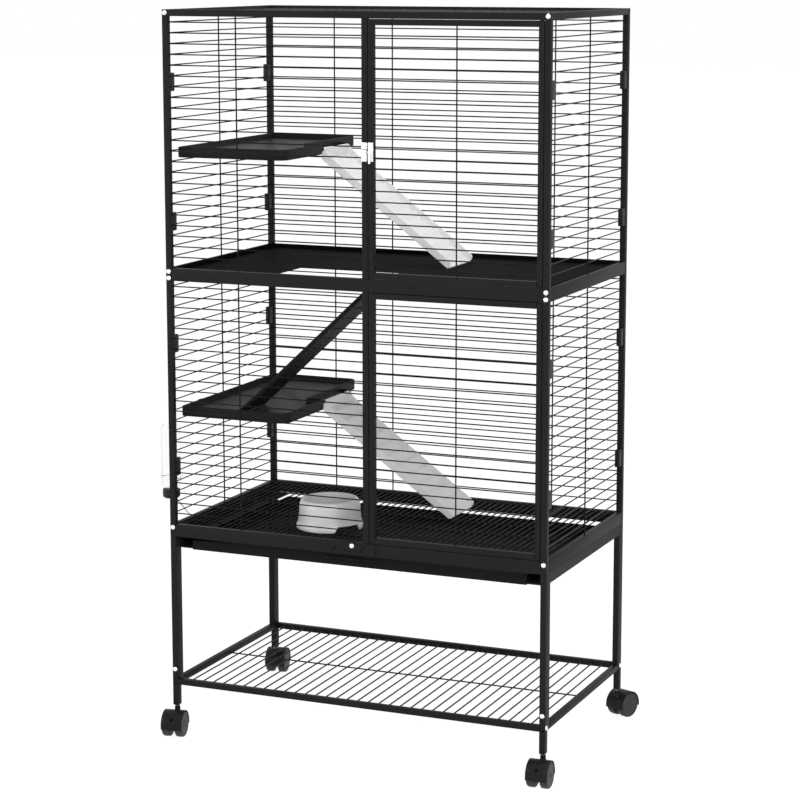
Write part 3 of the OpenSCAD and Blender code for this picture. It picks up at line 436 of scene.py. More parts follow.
# %% A material and what feeds it
class Finish(Net):
    """One material: a Principled shader and whatever feeds it."""

    def __init__(self, name, colour, roughness, metallic=0.0, **constants):
        self.material = bpy.data.materials.new(name)
        super().__init__(self.material)
        values = {"Base Color": (*colour, 1), "Roughness": roughness, "Metallic": metallic}
        values.update({key.replace("_", " "): value for key, value in constants.items()})
        self.shader = self.node("ShaderNodeBsdfPrincipled", {}, values)
        self.output = self.node("ShaderNodeOutputMaterial", {}, {"Surface": self.shader.outputs[0]})
        self.place = self.node("ShaderNodeTexCoord", {}, {}).outputs["Object"]

    def noise(self, scale, detail, stretch=(1, 1, 1)):
        """Noise from 0 to 1 with blobs of about one over the scale, in metres."""
        vector = self.place
        if stretch != (1, 1, 1):
            vector = self.node("ShaderNodeMapping", {}, {"Vector": vector, "Scale": stretch}).outputs[0]
        inputs = {"Vector": vector, "Scale": scale, "Detail": detail}
        return Number(self, self.node("ShaderNodeTexNoise", {}, inputs).outputs[0])

    def between(self, mask, low, high):
        """Colour that goes from low to high as the mask goes from 0 to 1."""
        inputs = {0: mask, 6: (*low, 1), 7: (*high, 1)}
        return self.node("ShaderNodeMix", {"data_type": "RGBA"}, inputs).outputs[2]

    def feed(self, name, value):
        """Links a varying value or colour to one of the shader's own sockets."""
        socket = value.socket if isinstance(value, Number) else value
        self.tree.links.new(socket, self.shader.inputs[name])

    def bumps(self, height, strength, distance):
        """Lets a height pattern turn the surface's normal."""
        inputs = {"Height": height, "Strength": strength, "Distance": distance}
        self.feed("Normal", self.node("ShaderNodeBump", {}, inputs).outputs[0])
        return self


def grey(tone):
    """Neutral colour of one tone."""
    return (tone, tone, tone)


def swing(pattern, width):
    """Moves a value up and down by half the width, as the pattern goes from 0 to 1."""
    return (pattern - 0.5) * width


print("helpers: Finish, grey, swing")

# %% [markdown]
# ## Black powder coat
#
# The frame, the wires and the sheet metal are powder coated. The powder melts
# into a skin with a faint orange peel, with swells of one to two millimetres,
# and its sheen changes a little from place to place. The coat is nearly
# black: what the eye reads as its shape is mostly the sheen.

# %% Powder-coated metal
def powder_coat(name, tone, roughness, sheen):
    """Nearly black skin; tone is its mean grey, and sheen its specular level."""
    finish = Finish(name, grey(tone), roughness, Specular_IOR_Level=sheen)
    patches = finish.noise(9, 3)
    peel = finish.noise(850, 2)
    specks = finish.noise(2600, 1)
    light = (tone * 1.18, tone * 1.18, tone * 1.2)
    finish.feed("Base Color", finish.between(patches, grey(tone * 0.82), light))
    finish.feed("Roughness", roughness + swing(patches, 0.12) + swing(specks, 0.06))
    return finish.bumps(peel + specks * 0.35, 0.16, 0.0004).material


FRAME_COAT = powder_coat("frame_coat", 0.0130, 0.44, 0.05)
WIRE_COAT = powder_coat("wire_coat", 0.0060, 0.42, 0.08)
SHEET_COAT = powder_coat("sheet_coat", 0.0095, 0.55, 0.02)
# The upper floor is the same sheet metal as the tray; its coat is a darker copy with hardly any sheen:
# painted shade.
SHADED_PAN_COAT = powder_coat("pan_coat_painted_shade", 0.0045, 0.62, 0.006)
MESH_COAT = powder_coat("mesh_coat", 0.0065, 0.46, 0.08)
print("coats:", [m.name for m in (FRAME_COAT, WIRE_COAT, SHEET_COAT, SHADED_PAN_COAT, MESH_COAT)])

# %% [markdown]
# ## Moulded plastics
#
# The platforms are dark polypropylene with a fine spark-eroded grain. The
# ramps and the bowl are a pale grey of the same kind, smoother, with the soft
# clouding of a thick moulding. The caster's hoods are a shinier nylon, and
# the wheels are a little greyer than their hoods.

# %% Plastics
def moulded(name, dark, light, roughness, grain, depth, sheen=0.4):
    """Plastic whose tone clouds between two greys, with grain of this scale."""
    finish = Finish(name, grey(light), roughness, Specular_IOR_Level=sheen)
    clouds = finish.noise(14, 3)
    fine = finish.noise(grain, 3)
    finish.feed("Base Color", finish.between(clouds, grey(dark), grey(light)))
    finish.feed("Roughness", roughness + swing(fine, 0.14) + swing(clouds, 0.08))
    return finish.bumps(fine, 0.25, depth).material


PLATFORM_PLASTIC = moulded("platform_plastic", 0.009, 0.013, 0.48, 1500, 0.0003, 0.06)
RAMP_PLASTIC = moulded("ramp_plastic", 0.70, 0.78, 0.42, 900, 0.0001)
BOWL_PLASTIC = moulded("bowl_plastic", 0.52, 0.60, 0.30, 700, 0.0001, 0.5)
HOOD_PLASTIC = moulded("hood_plastic", 0.008, 0.011, 0.40, 1600, 0.0002, 0.1)
WHEEL_PLASTIC = moulded("wheel_plastic", 0.024, 0.031, 0.48, 1300, 0.0003, 0.2)
CLIP_PLASTIC = moulded("clip_plastic", 0.006, 0.009, 0.40, 1800, 0.0002, 0.15)
CAP_PLASTIC = moulded("cap_plastic", 0.008, 0.012, 0.40, 1500, 0.0002, 0.2)
plastics = (PLATFORM_PLASTIC, RAMP_PLASTIC, BOWL_PLASTIC, HOOD_PLASTIC, WHEEL_PLASTIC, CLIP_PLASTIC,
            CAP_PLASTIC)
print("plastics:", [m.name for m in plastics])

# %% [markdown]
# ## Bright metal and clear plastic
#
# The screws, the latch and the drinking tube are plated steel. Plating is
# rarely a mirror: rolling leaves fine streaks, so the noise is stretched. The
# bottle is clear plastic, faintly wavy where it was blown into its mould.

# %% Steel and clear plastic
def plated(name, tone, roughness, stretch):
    """Plated steel with fine streaks along the long side of the stretch."""
    finish = Finish(name, grey(tone), roughness, 1.0)
    streaks = finish.noise(600, 3, stretch)
    clouds = finish.noise(90, 2)
    finish.feed("Base Color", finish.between(clouds, grey(tone * 0.9), grey(tone)))
    finish.feed("Roughness", roughness + swing(streaks, 0.16))
    return finish.bumps(streaks, 0.1, 0.0001).material


SCREW_STEEL = plated("screw_steel", 0.86, 0.24, (1, 1, 1))
LATCH_STEEL = plated("latch_steel", 0.90, 0.34, (0.3, 1, 3))
SPOUT_STEEL = plated("spout_steel", 0.80, 0.20, (4, 4, 0.4))
STEM_STEEL = plated("stem_steel", 0.16, 0.42, (1, 1, 0.5))


def clear_plastic(name):
    """Clear, slightly wavy plastic that lets most of the light through."""
    roughness = 0.06
    finish = Finish(name, (0.88, 0.89, 0.90), roughness, Transmission_Weight=0.88, IOR=1.12, Alpha=0.55)
    waves = finish.noise(60, 2)
    finish.feed("Roughness", roughness + swing(waves, 0.06))
    return finish.bumps(waves, 0.12, 0.0008).material


CLEAR = clear_plastic("clear_plastic")
print("bright:", [m.name for m in (SCREW_STEEL, LATCH_STEEL, SPOUT_STEEL, STEM_STEEL, CLEAR)])

# %% [markdown]
# ## Places in the cage's own measure
#
# From here on a place is given as a person would measure it on the cage: in
# millimetres from its left face, its front face and the ground.

# %% Places and levels
def at(x, y, z):
    """Place in millimetres from the left face, the front face and the ground."""
    return np.array([LEFT + x * MM, FRONT + y * MM, z * MM])


def cage(point):
    """The same measure read back from a place in metres."""
    return (np.asarray(point) - (LEFT, FRONT, 0)) / MM


def extent(node):
    """Low and high corner of a node in millimetres of the cage."""
    return [cage(end) for end in span(node)]


WIDE, DEEP, HIGH = (RIGHT - LEFT) / MM, (BACK - FRONT) / MM, cad_high[2] / MM
TUBE_MM = TUBE / MM
BASE_LOW_MM, BASE_TOP_MM = extent("base_frame")[0][2], BASE_TOP / MM
MID_LOW_MM, MID_TOP_MM = extent("mid_rail_front")[0][2], MID_TOP / MM
TOP_LOW_MM = MID_TOP_MM + TIER / MM
SHELF_LOW_MM, SHELF_TOP_MM = extent("shelf_frame")[0][2], extent("shelf_frame")[1][2]
print("wide, deep, high:", [round(float(v), 1) for v in (WIDE, DEEP, HIGH)], "mm")

# %% [markdown]
# ## The welded frame
#
# Posts, legs and rails come first, because every other piece hangs on them.
# Each member is one rounded bar, and the members of a frame that moves as one
# are gathered in one piece. Each bar's ends are rolled too, so a fine groove
# shows where two bars meet, as at a ground weld.

# %% Posts, legs and rails
CORNERS = ("front_left", "front_right", "back_left", "back_right")
FOOT_DEEP, FOOT_IN = 15, 4
ROLL = 1.1


def bars(name, material, slot, nodes, boxes, radius=ROLL):
    """One piece of rounded bars, each given by its low and high corner in millimetres."""
    piece = Piece()
    for low, high in boxes:
        piece.add(*rounded_bar(at(*low), at(*high), radius * MM))
    return piece.make(name, material, slot, nodes)


def frame_bars(name, node, boxes):
    """Bars of the black frame that stand for one node."""
    return bars(name, FRAME_COAT, "frame_black", (node,), boxes)


def leg_boxes(corner):
    """A leg's deep upper part and its narrower foot under the shelf."""
    low, high = extent("leg_" + corner)
    front = "front" in corner
    foot_low = (low[0], low[1] if front else high[1] - FOOT_DEEP, low[2])
    foot_high = (low[0] + TUBE_MM, low[1] + FOOT_DEEP if front else high[1], SHELF_LOW_MM + FOOT_IN)
    return [((low[0], low[1], SHELF_LOW_MM), high), (foot_low, foot_high)]


def ring_of_rails(low_z, high_z, side_start, inner=0.0):
    """Front, back, left and right rail of one level frame."""
    far = WIDE - TUBE_MM
    return [
        ((inner, 0, low_z), (WIDE - inner, TUBE_MM, high_z)),
        ((inner, DEEP - TUBE_MM, low_z), (WIDE - inner, DEEP, high_z)),
        ((0, side_start, low_z), (TUBE_MM, DEEP - side_start, high_z)),
        ((far, side_start, low_z), (WIDE, DEEP - side_start, high_z)),
    ]


for corner in CORNERS:
    frame_bars("post_tube_" + corner, "post_" + corner, [extent("post_" + corner)])
for corner in CORNERS:
    frame_bars("leg_tube_" + corner, "leg_" + corner, leg_boxes(corner))
frame_bars("top_tubes", "top_frame", ring_of_rails(TOP_LOW_MM, HIGH, TUBE_MM))
frame_bars("base_tubes", "base_frame", ring_of_rails(BASE_LOW_MM, BASE_TOP_MM, TUBE_MM, TUBE_MM))
frame_bars("shelf_tubes", "shelf_frame", ring_of_rails(SHELF_LOW_MM, SHELF_TOP_MM, 2 * TUBE_MM, TUBE_MM))
middle_rails = ring_of_rails(MID_LOW_MM, MID_TOP_MM, TUBE_MM, TUBE_MM)
for side, box in zip(("front", "back", "left", "right"), middle_rails):
    frame_bars("middle_tube_" + side, "mid_rail_" + side, [box])
for tier in ("upper", "lower"):
    frame_bars(tier + "_divider_tube", tier + "_divider", [extent(tier + "_divider")])
print("frame pieces:", FRAME_COAT.users)

# %% [markdown]
# ## Doors
#
# A door is a square frame a little thinner than the cage's own. The stile that
# it turns on is rolled to a larger radius, so that its corners clear the post.
# A pin with a collar stands out above and below.

# %% Door frames
STILE_ROLL = 3.2
PIN_OUT, PIN_IN, PIN_R = 5.2, 4, 2
COLLAR_H, COLLAR_OFF = 1.1, 1.5


def door_piece(tier):
    """Four bars of a door, and a pin with a collar above and below its stile."""
    node = tier + "_door_frame"
    low, high = extent(node)
    rail_low, rail_top = low[2] + PIN_OUT, high[2] - PIN_OUT
    depth = high[1] - low[1]
    left_x, right_x = low[0] + depth, high[0] - depth
    members = [
        ((low[0], low[1], rail_low), (left_x, high[1], rail_top), ROLL),
        ((right_x, low[1], rail_low), (high[0], high[1], rail_top), STILE_ROLL),
        ((left_x, low[1], rail_top - depth), (right_x, high[1], rail_top), ROLL),
        ((left_x, low[1], rail_low), (right_x, high[1], rail_low + depth), ROLL),
    ]
    piece = Piece()
    for start, end, radius in members:
        piece.add(*rounded_bar(at(*start), at(*end), radius * MM, 4))
    x, y = high[0] - depth / 2, (low[1] + high[1]) / 2
    for tip, root, up in ((high[2], rail_top, 1), (low[2], rail_low, -1)):
        piece.add(*round_rod(at(x, y, root - up * PIN_IN), at(x, y, tip), PIN_R * MM, 20))
        collar = at(x, y, root - up), at(x, y, root + up * COLLAR_H)
        piece.add(*round_rod(*collar, (depth / 2 - COLLAR_OFF) * MM, 24))
    return piece.make(tier + "_door_tubes", FRAME_COAT, "frame_black", (node,))


doors = [door_piece(tier) for tier in ("upper", "lower")]
print("doors:", [len(door.data.polygons) for door in doors], "faces")

# %% [markdown]
# ## Wires and welds
#
# All the wire work follows one rule: level wires at an even spacing, crossed
# by a few thicker ones. The crossing wires are pressed together while a
# current melts them, so each crossing carries a small flat bead. A wire also
# has a bead where it enters a tube.

# %% Upright wire work
WIRE_R, UPRIGHT_R, WELD_SINK = 1.25, 1.5, 0.3
WIRE_FIRST, WIRE_PITCH, ROWS = 22, 20.8, 23
FRONT_UPRIGHT, SIDE_UPRIGHT, DOOR_UPRIGHT = 158, 229, 615
BACK_OUTER, BACK_INNER = 155, 287
WELD_OFF = WIRE_R + UPRIGHT_R - WELD_SINK
HALF_TUBE = TUBE_MM / 2
DEPTH_ENDS = (TUBE_MM, DEEP - TUBE_MM)


def wires(name, node, runs, welds):
    """Piece of straight wires (start, end, radius) and weld beads (place, half sizes)."""
    piece = Piece()
    for start, end, radius in runs:
        piece.add(*round_rod(at(*start), at(*end), radius * MM, 8))
    for place, size in welds:
        piece.add(*bead(at(*place), np.array(size) * MM, 6, 3))
    return piece.make(name, WIRE_COAT, "wire_black", (node,), smooth=60)


def panel(name, node, axis, ends, plane, outward, heights, z_ends, uprights):
    """Level wires along an axis, and upright wires on their outer side."""
    def place(along, across, z):
        """The three numbers in the order of the cage's own axes."""
        return (along, across, z) if axis == 0 else (across, along, z)

    outer, touch = plane + outward * WELD_OFF, plane + outward * WIRE_R
    runs = [(place(ends[0], plane, z), place(ends[1], plane, z), WIRE_R) for z in heights]
    runs += [(place(u, outer, z_ends[0]), place(u, outer, z_ends[1]), UPRIGHT_R) for u in uprights]
    welds = [(place(u, touch, z), place(2.4, 1.2, 1.7)) for u in uprights for z in heights]
    welds += [(place(end, plane, z), place(1.2, 1.9, 1.9)) for end in ends for z in heights]
    return wires(name, node, runs, welds)


def tier_panels(tier, floor_z):
    """The four walls of one tier and the wires of its door."""
    heights = [floor_z + WIRE_FIRST + i * WIRE_PITCH for i in range(ROWS)]
    z_ends = (floor_z, floor_z + TIER / MM)
    front_ends = (TUBE_MM, extent(tier + "_divider")[0][0])
    panel(tier + "_front_wires", tier + "_front_panel", 0, front_ends, HALF_TUBE, -1,
          heights, z_ends, (FRONT_UPRIGHT,))
    panel(tier + "_left_wires", tier + "_left_panel", 1, DEPTH_ENDS, HALF_TUBE, -1,
          heights, z_ends, (SIDE_UPRIGHT,))
    panel(tier + "_right_wires", tier + "_right_panel", 1, DEPTH_ENDS, WIDE - HALF_TUBE, 1,
          heights, z_ends, (SIDE_UPRIGHT,))
    panel(tier + "_back_wires", tier + "_back_panel", 0, (TUBE_MM, WIDE - TUBE_MM),
          DEEP - HALF_TUBE, 1, heights, z_ends, (BACK_OUTER, BACK_INNER, WIDE - BACK_OUTER))
    low, high = extent(tier + "_door_wires")
    panel(tier + "_door_bars", tier + "_door_wires", 0, (low[0], high[0]), HALF_TUBE, -1,
          heights[:-1], (low[2], high[2]), (DOOR_UPRIGHT,))


tier_panels("lower", BASE_TOP_MM)
tier_panels("upper", MID_TOP_MM)
print("upright wire pieces:", WIRE_COAT.users)

# %% [markdown]
# ## Level grids
#
# The lower tier's floor, the shelf under the cage and the top are grids of
# the same kind, laid flat. The floor's wires are closer together than a small
# foot is wide. The shelf's are the thicker sort, because they carry a load.

# %% Floor, shelf and top
FLOOR_PITCH, CROSS_INSET, SHELF_PITCH = 13.86, 60, 22.8


def level_grid(name, node, spots, z, cross_spots, cross_z, radius=WIRE_R):
    """Wires from front to back with a few cross wires under them."""
    runs = [((x, DEPTH_ENDS[0], z), (x, DEPTH_ENDS[1], z), radius) for x in spots]
    runs += [((TUBE_MM, y, cross_z), (WIDE - TUBE_MM, y, cross_z), UPRIGHT_R) for y in cross_spots]
    welds = [((x, y, (z + cross_z) / 2), (1.7, 2.4, 1.2)) for x in spots for y in cross_spots]
    return wires(name, node, runs, welds)


def centred(pitch, count):
    """Places between the two side tubes, evenly to both sides of the middle."""
    return [WIDE / 2 + (i - count / 2) * pitch for i in range(1, count)]


inner_width = WIDE - 2 * TUBE_MM
floor_rows = round(inner_width / FLOOR_PITCH)
floor_z = BASE_TOP_MM - WIRE_R
level_grid("floor_rods", "wire_floor", centred(inner_width / floor_rows, floor_rows), floor_z,
           np.linspace(CROSS_INSET, DEEP - CROSS_INSET, 4), floor_z - WELD_OFF)
shelf_z = SHELF_LOW_MM + HALF_TUBE + 1
level_grid("shelf_rods", "shelf_wires", centred(SHELF_PITCH, int(inner_width // SHELF_PITCH)), shelf_z,
           [DEEP / 2], shelf_z - 2 * UPRIGHT_R + WELD_SINK, UPRIGHT_R)
top_z = (TOP_LOW_MM + HIGH) / 2
level_grid("top_rods", "top_panel", centred(WIRE_PITCH, int(inner_width // WIRE_PITCH)), top_z,
           [DEEP / 3, DEEP * 2 / 3], top_z - WELD_OFF)
print("floor rods:", floor_rows - 1)

# %% [markdown]
# ## Moulded platforms
#
# A platform is a thin plate inside a raised rim, all of one wall. It is made
# as a mould maker would draw it: the plan of the platform is the path, and the
# rim's section travels along it. The section is a list of insets and heights.
# The plan is worked out again for each inset, so that outer corners get
# tighter and the inner corner gets wider as the path moves inwards.

# %% Plan and section
def rounded_loop(corners, radii, steps=6):
    """Closed outline whose corners become arcs, with the same count of points always."""
    corners = np.asarray(corners, float)
    points = []
    for k, radius in enumerate(radii):
        before, corner, after = corners[k - 1], corners[k], corners[(k + 1) % len(corners)]
        back = (before - corner) / np.linalg.norm(before - corner)
        ahead = (after - corner) / np.linalg.norm(after - corner)
        middle = corner + (back + ahead) * radius
        angle = np.linspace(0, math.pi / 2, steps + 1)[:, None]
        points.append(middle - ahead * radius * np.cos(angle) - back * radius * np.sin(angle))
    return np.concatenate(points)


PLATE_W, PLATE_D, NARROW_W, STEP_Y = 233, 419, 39, 176
PLATE_X, PLATE_Y = 14, 29
RAMP_Y, RAMP_W = 250, 120
PIVOT_OUT, PIVOT_UP, EAR_R, EAR_T = 16, 7, 4.5, 5
HOOKS_Y, HOOK_W, HOOK_OUT, HOOK_UP = (90, PLATE_D - 70), 14, 11, 14.2


def platform_plan(inset):
    """The platform's outline, moved inwards by the inset in millimetres."""
    near, far_x, far_y = inset, PLATE_W - inset, PLATE_D - inset
    step_x, step_y = far_x - NARROW_W, STEP_Y - inset
    corners = [(near, near), (far_x, near), (far_x, step_y), (step_x, step_y), (step_x, far_y), (near, far_y)]
    radii = [max(5 - inset, 0.6), max(22 - inset, 3), max(7 - inset, 1), 4 + inset,
             max(14 - inset, 2), max(5 - inset, 0.6)]
    return rounded_loop(corners, radii)


def platform_piece(name, node):
    """Rim and floor of a platform, its wall hooks and its ears for the ramp."""
    x0, y0, z0 = PLATE_X, PLATE_Y, extent(node)[0][2]
    section = [(4, 7.2), (4, 1), (3.4, 0.3), (2.6, 0), (1.4, 0), (0.5, 0.4), (0, 1.3), (0, 18.2),
               (0.4, 19.8), (1.3, 20.8), (2.2, 21), (3.1, 20.7), (3.9, 19.6), (4.2, 18), (4.6, 11.6),
               (5.2, 10.4), (6.4, 10)]
    rings = []
    for inset, z in section:
        plan = platform_plan(inset)
        rings.append(at(0, 0, 0) + np.column_stack([plan + (x0, y0), np.full(len(plan), z0 + z)]) * MM)
    piece = Piece().add(*tube_surface(np.array(rings)))
    hook_z = z0 + HOOK_UP + WIRE_R
    hook_x = x0 - HOOK_OUT
    for y in HOOKS_Y:
        start, end = y0 + y, y0 + y + HOOK_W
        piece.add(*rounded_bar(at(hook_x, start, hook_z), at(x0 + 1, end, hook_z + 2), 0.8 * MM))
        piece.add(*rounded_bar(at(hook_x, start, hook_z - 7), at(hook_x + 1.6, end, hook_z + 2), 0.7 * MM))
    edge = x0 + PLATE_W - NARROW_W
    turn = np.linspace(-math.pi / 2, math.pi / 2, 17)
    tip = np.column_stack([PIVOT_OUT + EAR_R * np.cos(turn), PIVOT_UP + EAR_R * np.sin(turn)])
    ear = np.concatenate([[(-1, PIVOT_UP - EAR_R)], tip, [(-1, PIVOT_UP + EAR_R)]])
    for y in (RAMP_Y - 0.5 - EAR_T, RAMP_Y + RAMP_W + 0.5):
        points, faces = slab(ear, 0, EAR_T, 1)
        piece.add(points * MM + at(edge, y, z0), faces)
    return piece.make(name, PLATFORM_PLASTIC, "platform_plastic", (node,))


platform_piece("upper_shelf_plate", "upper_platform")
platform_piece("lower_shelf_plate", "lower_platform")
print("platform points on a ring:", len(platform_plan(0)))

# %% [markdown]
# ## Plastic ramps
#
# A ramp hangs from its rod by an upright plate. From the plate's lower edge a
# sole with eleven steps slopes down to the floor, between two side flanges
# with a round corner at the foot. The pieces are drawn lying flat, with the
# sole's heel at the start, and then tilted until the sole's end meets the
# floor. The head of a flange is upright instead, so its points are turned back
# by the same angle before they join the outline.

# %% Ramps
RAMP_LEN, RAMP_WALL, HANG, REST = 343, 2.4, 21, 0.3
FLANGE_H, FOOT_ROUND, FOOT_TIP = 15.5, 8, 1.7
RAMP_ROD_R, RAMP_ROD_OUT, PAN_DROP = 2.5, 5.4, 7
STEP_H, STEP_MARGIN, RAMP_STEPS = 5.5, 12, 11
STEP_SHAPE = ((0.8, 0), (0.45, 0.52), (0.16, 0.93), (0.09, 0.99), (0.03, 0.9), (0, 0.6), (0, 0.05))


def ramp_piece(name, node, pivot, floor_z):
    """Stepped sole, two flanges, the upright plate and the rod of one ramp."""
    piece = Piece()
    dip = math.asin((pivot[2] - HANG - floor_z - REST) / RAMP_LEN)
    c, s = math.cos(dip), math.sin(dip)
    tilt = np.array([[c, 0, s], [0, 1, 0], [-s, 0, c]])
    heel = at(pivot[0], pivot[1], pivot[2] - HANG)

    def tilted(surface):
        """The surface dipped towards the foot and moved to the heel."""
        points, faces = surface
        return heel + points @ tilt.T * MM, faces

    pitch = (RAMP_LEN - 2 * STEP_MARGIN) / RAMP_STEPS
    starts = STEP_MARGIN + pitch * np.arange(RAMP_STEPS)[::-1]
    steps = starts[:, None, None] * (1, 0) + np.array(STEP_SHAPE) * (pitch, STEP_H) + (0, RAMP_WALL)
    toe = [(1, 0), (RAMP_LEN - 0.5, 0), (RAMP_LEN, 0.6), (RAMP_LEN - 0.6, RAMP_WALL)]
    outline = np.concatenate([toe, steps.reshape(-1, 2), [(1, RAMP_WALL)]])
    flat = [np.column_stack([outline[:, 0], np.full(len(outline), y), outline[:, 1]])
            for y in (RAMP_WALL * 0.6, RAMP_W - RAMP_WALL * 0.6)]
    piece.add(*tilted(tube_surface(np.array(flat))))
    turn = np.linspace(0, math.pi / 2, 9)
    foot = np.column_stack([RAMP_LEN - FOOT_ROUND * (1 - np.cos(turn)),
                            FLANGE_H - FOOT_ROUND * (1 - np.sin(turn))])
    turned_back = np.array([[c, s], [-s, c]])
    head = rounded_profile([(-1.5, 0), (-1.5, HANG + 2), (4.6, HANG + 2), (8.4, FLANGE_H + 0.6),
                            tuple(turned_back @ (26, FLANGE_H))], [0, 3, 4, 14, 0], 5)
    head = head @ turned_back
    flange = np.concatenate([[(RAMP_LEN, FOOT_TIP)], foot, [(RAMP_LEN * 0.6, FLANGE_H)], head[::-1],
                             [(RAMP_LEN - FOOT_TIP, 0)]])
    for low in (0, RAMP_W - RAMP_WALL):
        piece.add(*tilted(slab(flange, low, low + RAMP_WALL, 1.2)))
    plate_low = at(pivot[0] - 1.4, pivot[1] + 1, pivot[2] - HANG + 0.2)
    plate_high = at(pivot[0] + 1.4, pivot[1] + RAMP_W - 1, pivot[2] + 0.5)
    piece.add(*rounded_bar(plate_low, plate_high, 0.8 * MM))
    rod_start = at(pivot[0], pivot[1] - RAMP_ROD_OUT, pivot[2])
    rod_end = at(pivot[0], pivot[1] + RAMP_W + RAMP_ROD_OUT, pivot[2])
    piece.add(*round_rod(rod_start, rod_end, RAMP_ROD_R * MM, 20))
    print(node, "dips", round(math.degrees(dip), 1), "degrees")
    return piece.make(name, RAMP_PLASTIC, "ramp_plastic", (node,), smooth=35)


for tier, floor_z in (("upper", MID_TOP_MM - PAN_DROP), ("lower", BASE_TOP_MM)):
    pivot_z = extent(tier + "_platform")[0][2] + PIVOT_UP
    pivot = (PLATE_X + PLATE_W - NARROW_W + PIVOT_OUT, RAMP_Y, pivot_z)
    ramp_piece(tier + "_ramp_shell", tier + "_ramp", pivot, floor_z)

# %% [markdown]
# ## Mesh ramp
#
# The ramp to the upper floor is expanded metal: a sheet slit and pulled until
# the slits open into diamonds. What is left is a net of flat strands that
# cross at their knots. Two families of slanted bars give that net, cut to the
# plate's own width by working out where each line meets the edges.

# %% Expanded metal
MESH_Y, MESH_W, MESH_EDGE, MESH_T = 56, 103, 8, 1.5
MESH_FOOT_X, HOLE_RIGHT = 135.5, 435
STRAND_PITCH, STRAND_HALF, STRAND_T, STRAND_LAP = 7, 0.9, 1.4, 0.02
MESH_ROD_R, MESH_ROD_OUT, HINGE_LUG = 2, 4.6, 12


def strand(start, end):
    """Flat bar with eased edges: an eight-sided section carried from start to end."""
    start, end = np.asarray(start, float), np.asarray(end, float)
    along = (end - start) / np.linalg.norm(end - start)
    side = np.array([-along[1], along[0], 0]) * STRAND_HALF
    section = [(1, 0.15), (1, 0.85), (0.6, 1), (-0.6, 1), (-1, 0.85), (-1, 0.15), (-0.6, 0), (0.6, 0)]
    ring = np.array([side * out + (0, 0, STRAND_T * up) for out, up in section])
    return tube_surface(np.stack([start + ring, end + ring]))


def strand_ends(sign, offset, last):
    """Where a line at half a right angle enters and leaves the sheet, or None if it hardly does.

    The line starts at the offset on one long edge and reaches the other edge
    after as much length as width. Its shares before the sheet's first and
    last line are cut off.
    """
    first_y, last_y = (MESH_T, MESH_W - MESH_T)[::sign]
    reach = MESH_W - 2 * MESH_T
    enter, leave = max(0, (1 - offset) / reach), min(1, (last - offset) / reach)
    if leave - enter <= 0.04:
        return None
    return [(offset + reach * t, first_y + (last_y - first_y) * t) for t in (enter, leave)]


def mesh_ramp_piece():
    """Net of strands between two folded edges, and the rod that it hangs from."""
    foot = np.array([MESH_FOOT_X, MESH_Y, extent("lower_platform")[0][2] + 10 + REST])
    top = np.array([HOLE_RIGHT - 1.5, MESH_Y, MID_TOP_MM - PAN_DROP - 6])
    run, rise = top[0] - foot[0], top[2] - foot[2]
    length, angle = math.hypot(run, rise), math.atan2(rise, run)
    c, s = math.cos(angle), math.sin(angle)
    tilt = np.array([[c, 0, -s], [0, 1, 0], [s, 0, c]])
    piece = Piece()

    def add_tilted(surface):
        """Adds a surface, raised to the ramp's slope and moved to its foot."""
        points, faces = surface
        piece.add(at(*foot) + points @ tilt.T * MM, faces)

    last = length - 5
    for sign in (1, -1):
        for k, offset in enumerate(np.arange(-MESH_W + STRAND_PITCH / 2, last + MESH_W, STRAND_PITCH)):
            ends = strand_ends(sign, offset, last)
            if ends:
                lap = STRAND_LAP * (k % 2)
                add_tilted(strand((*ends[0], lap), (*ends[1], lap)))
    for y in (0, MESH_W - MESH_T):
        add_tilted(rounded_bar((0, y, 0), (length - 4, y + MESH_T, MESH_EDGE), 0.6))
    for x in (0, last - 3):
        add_tilted(rounded_bar((x, 0.3, 0), (x + 4, MESH_W - 0.3, MESH_T), 0.5))
    rod_ends = (length, -MESH_ROD_OUT, 0), (length, MESH_W + MESH_ROD_OUT, 0)
    add_tilted(round_rod(*rod_ends, MESH_ROD_R, 16))
    for y in (0, MESH_W - 3):
        add_tilted(rounded_bar((length - HINGE_LUG, y, -1.5), (length, y + 3, 1.5), 0.5))
    return piece.make("mesh_ramp_net", MESH_COAT, "mesh_black", ("mesh_ramp",))


print("mesh ramp faces:", len(mesh_ramp_piece().data.polygons))

# %% [markdown]
# ## Feeding bowl
#
# The bowl is turned, apart from a notch in its skirt. It is moulded with two
# skins, and its profile goes up the outside, over a round shoulder, down into
# the hollow and back under the floor. The notch lifts the lower edge of the
# outside: towards one direction the heights are squeezed upwards, so the
# opening has the trapezoid shape of a finger notch.

# %% Bowl
NOTCH_TURN, NOTCH_HALF, NOTCH_SIDE = math.radians(-31), math.radians(26.5), math.radians(6.5)
NOTCH_H, SKIRT_R, SKIRT_H = 12.4, 56, 15


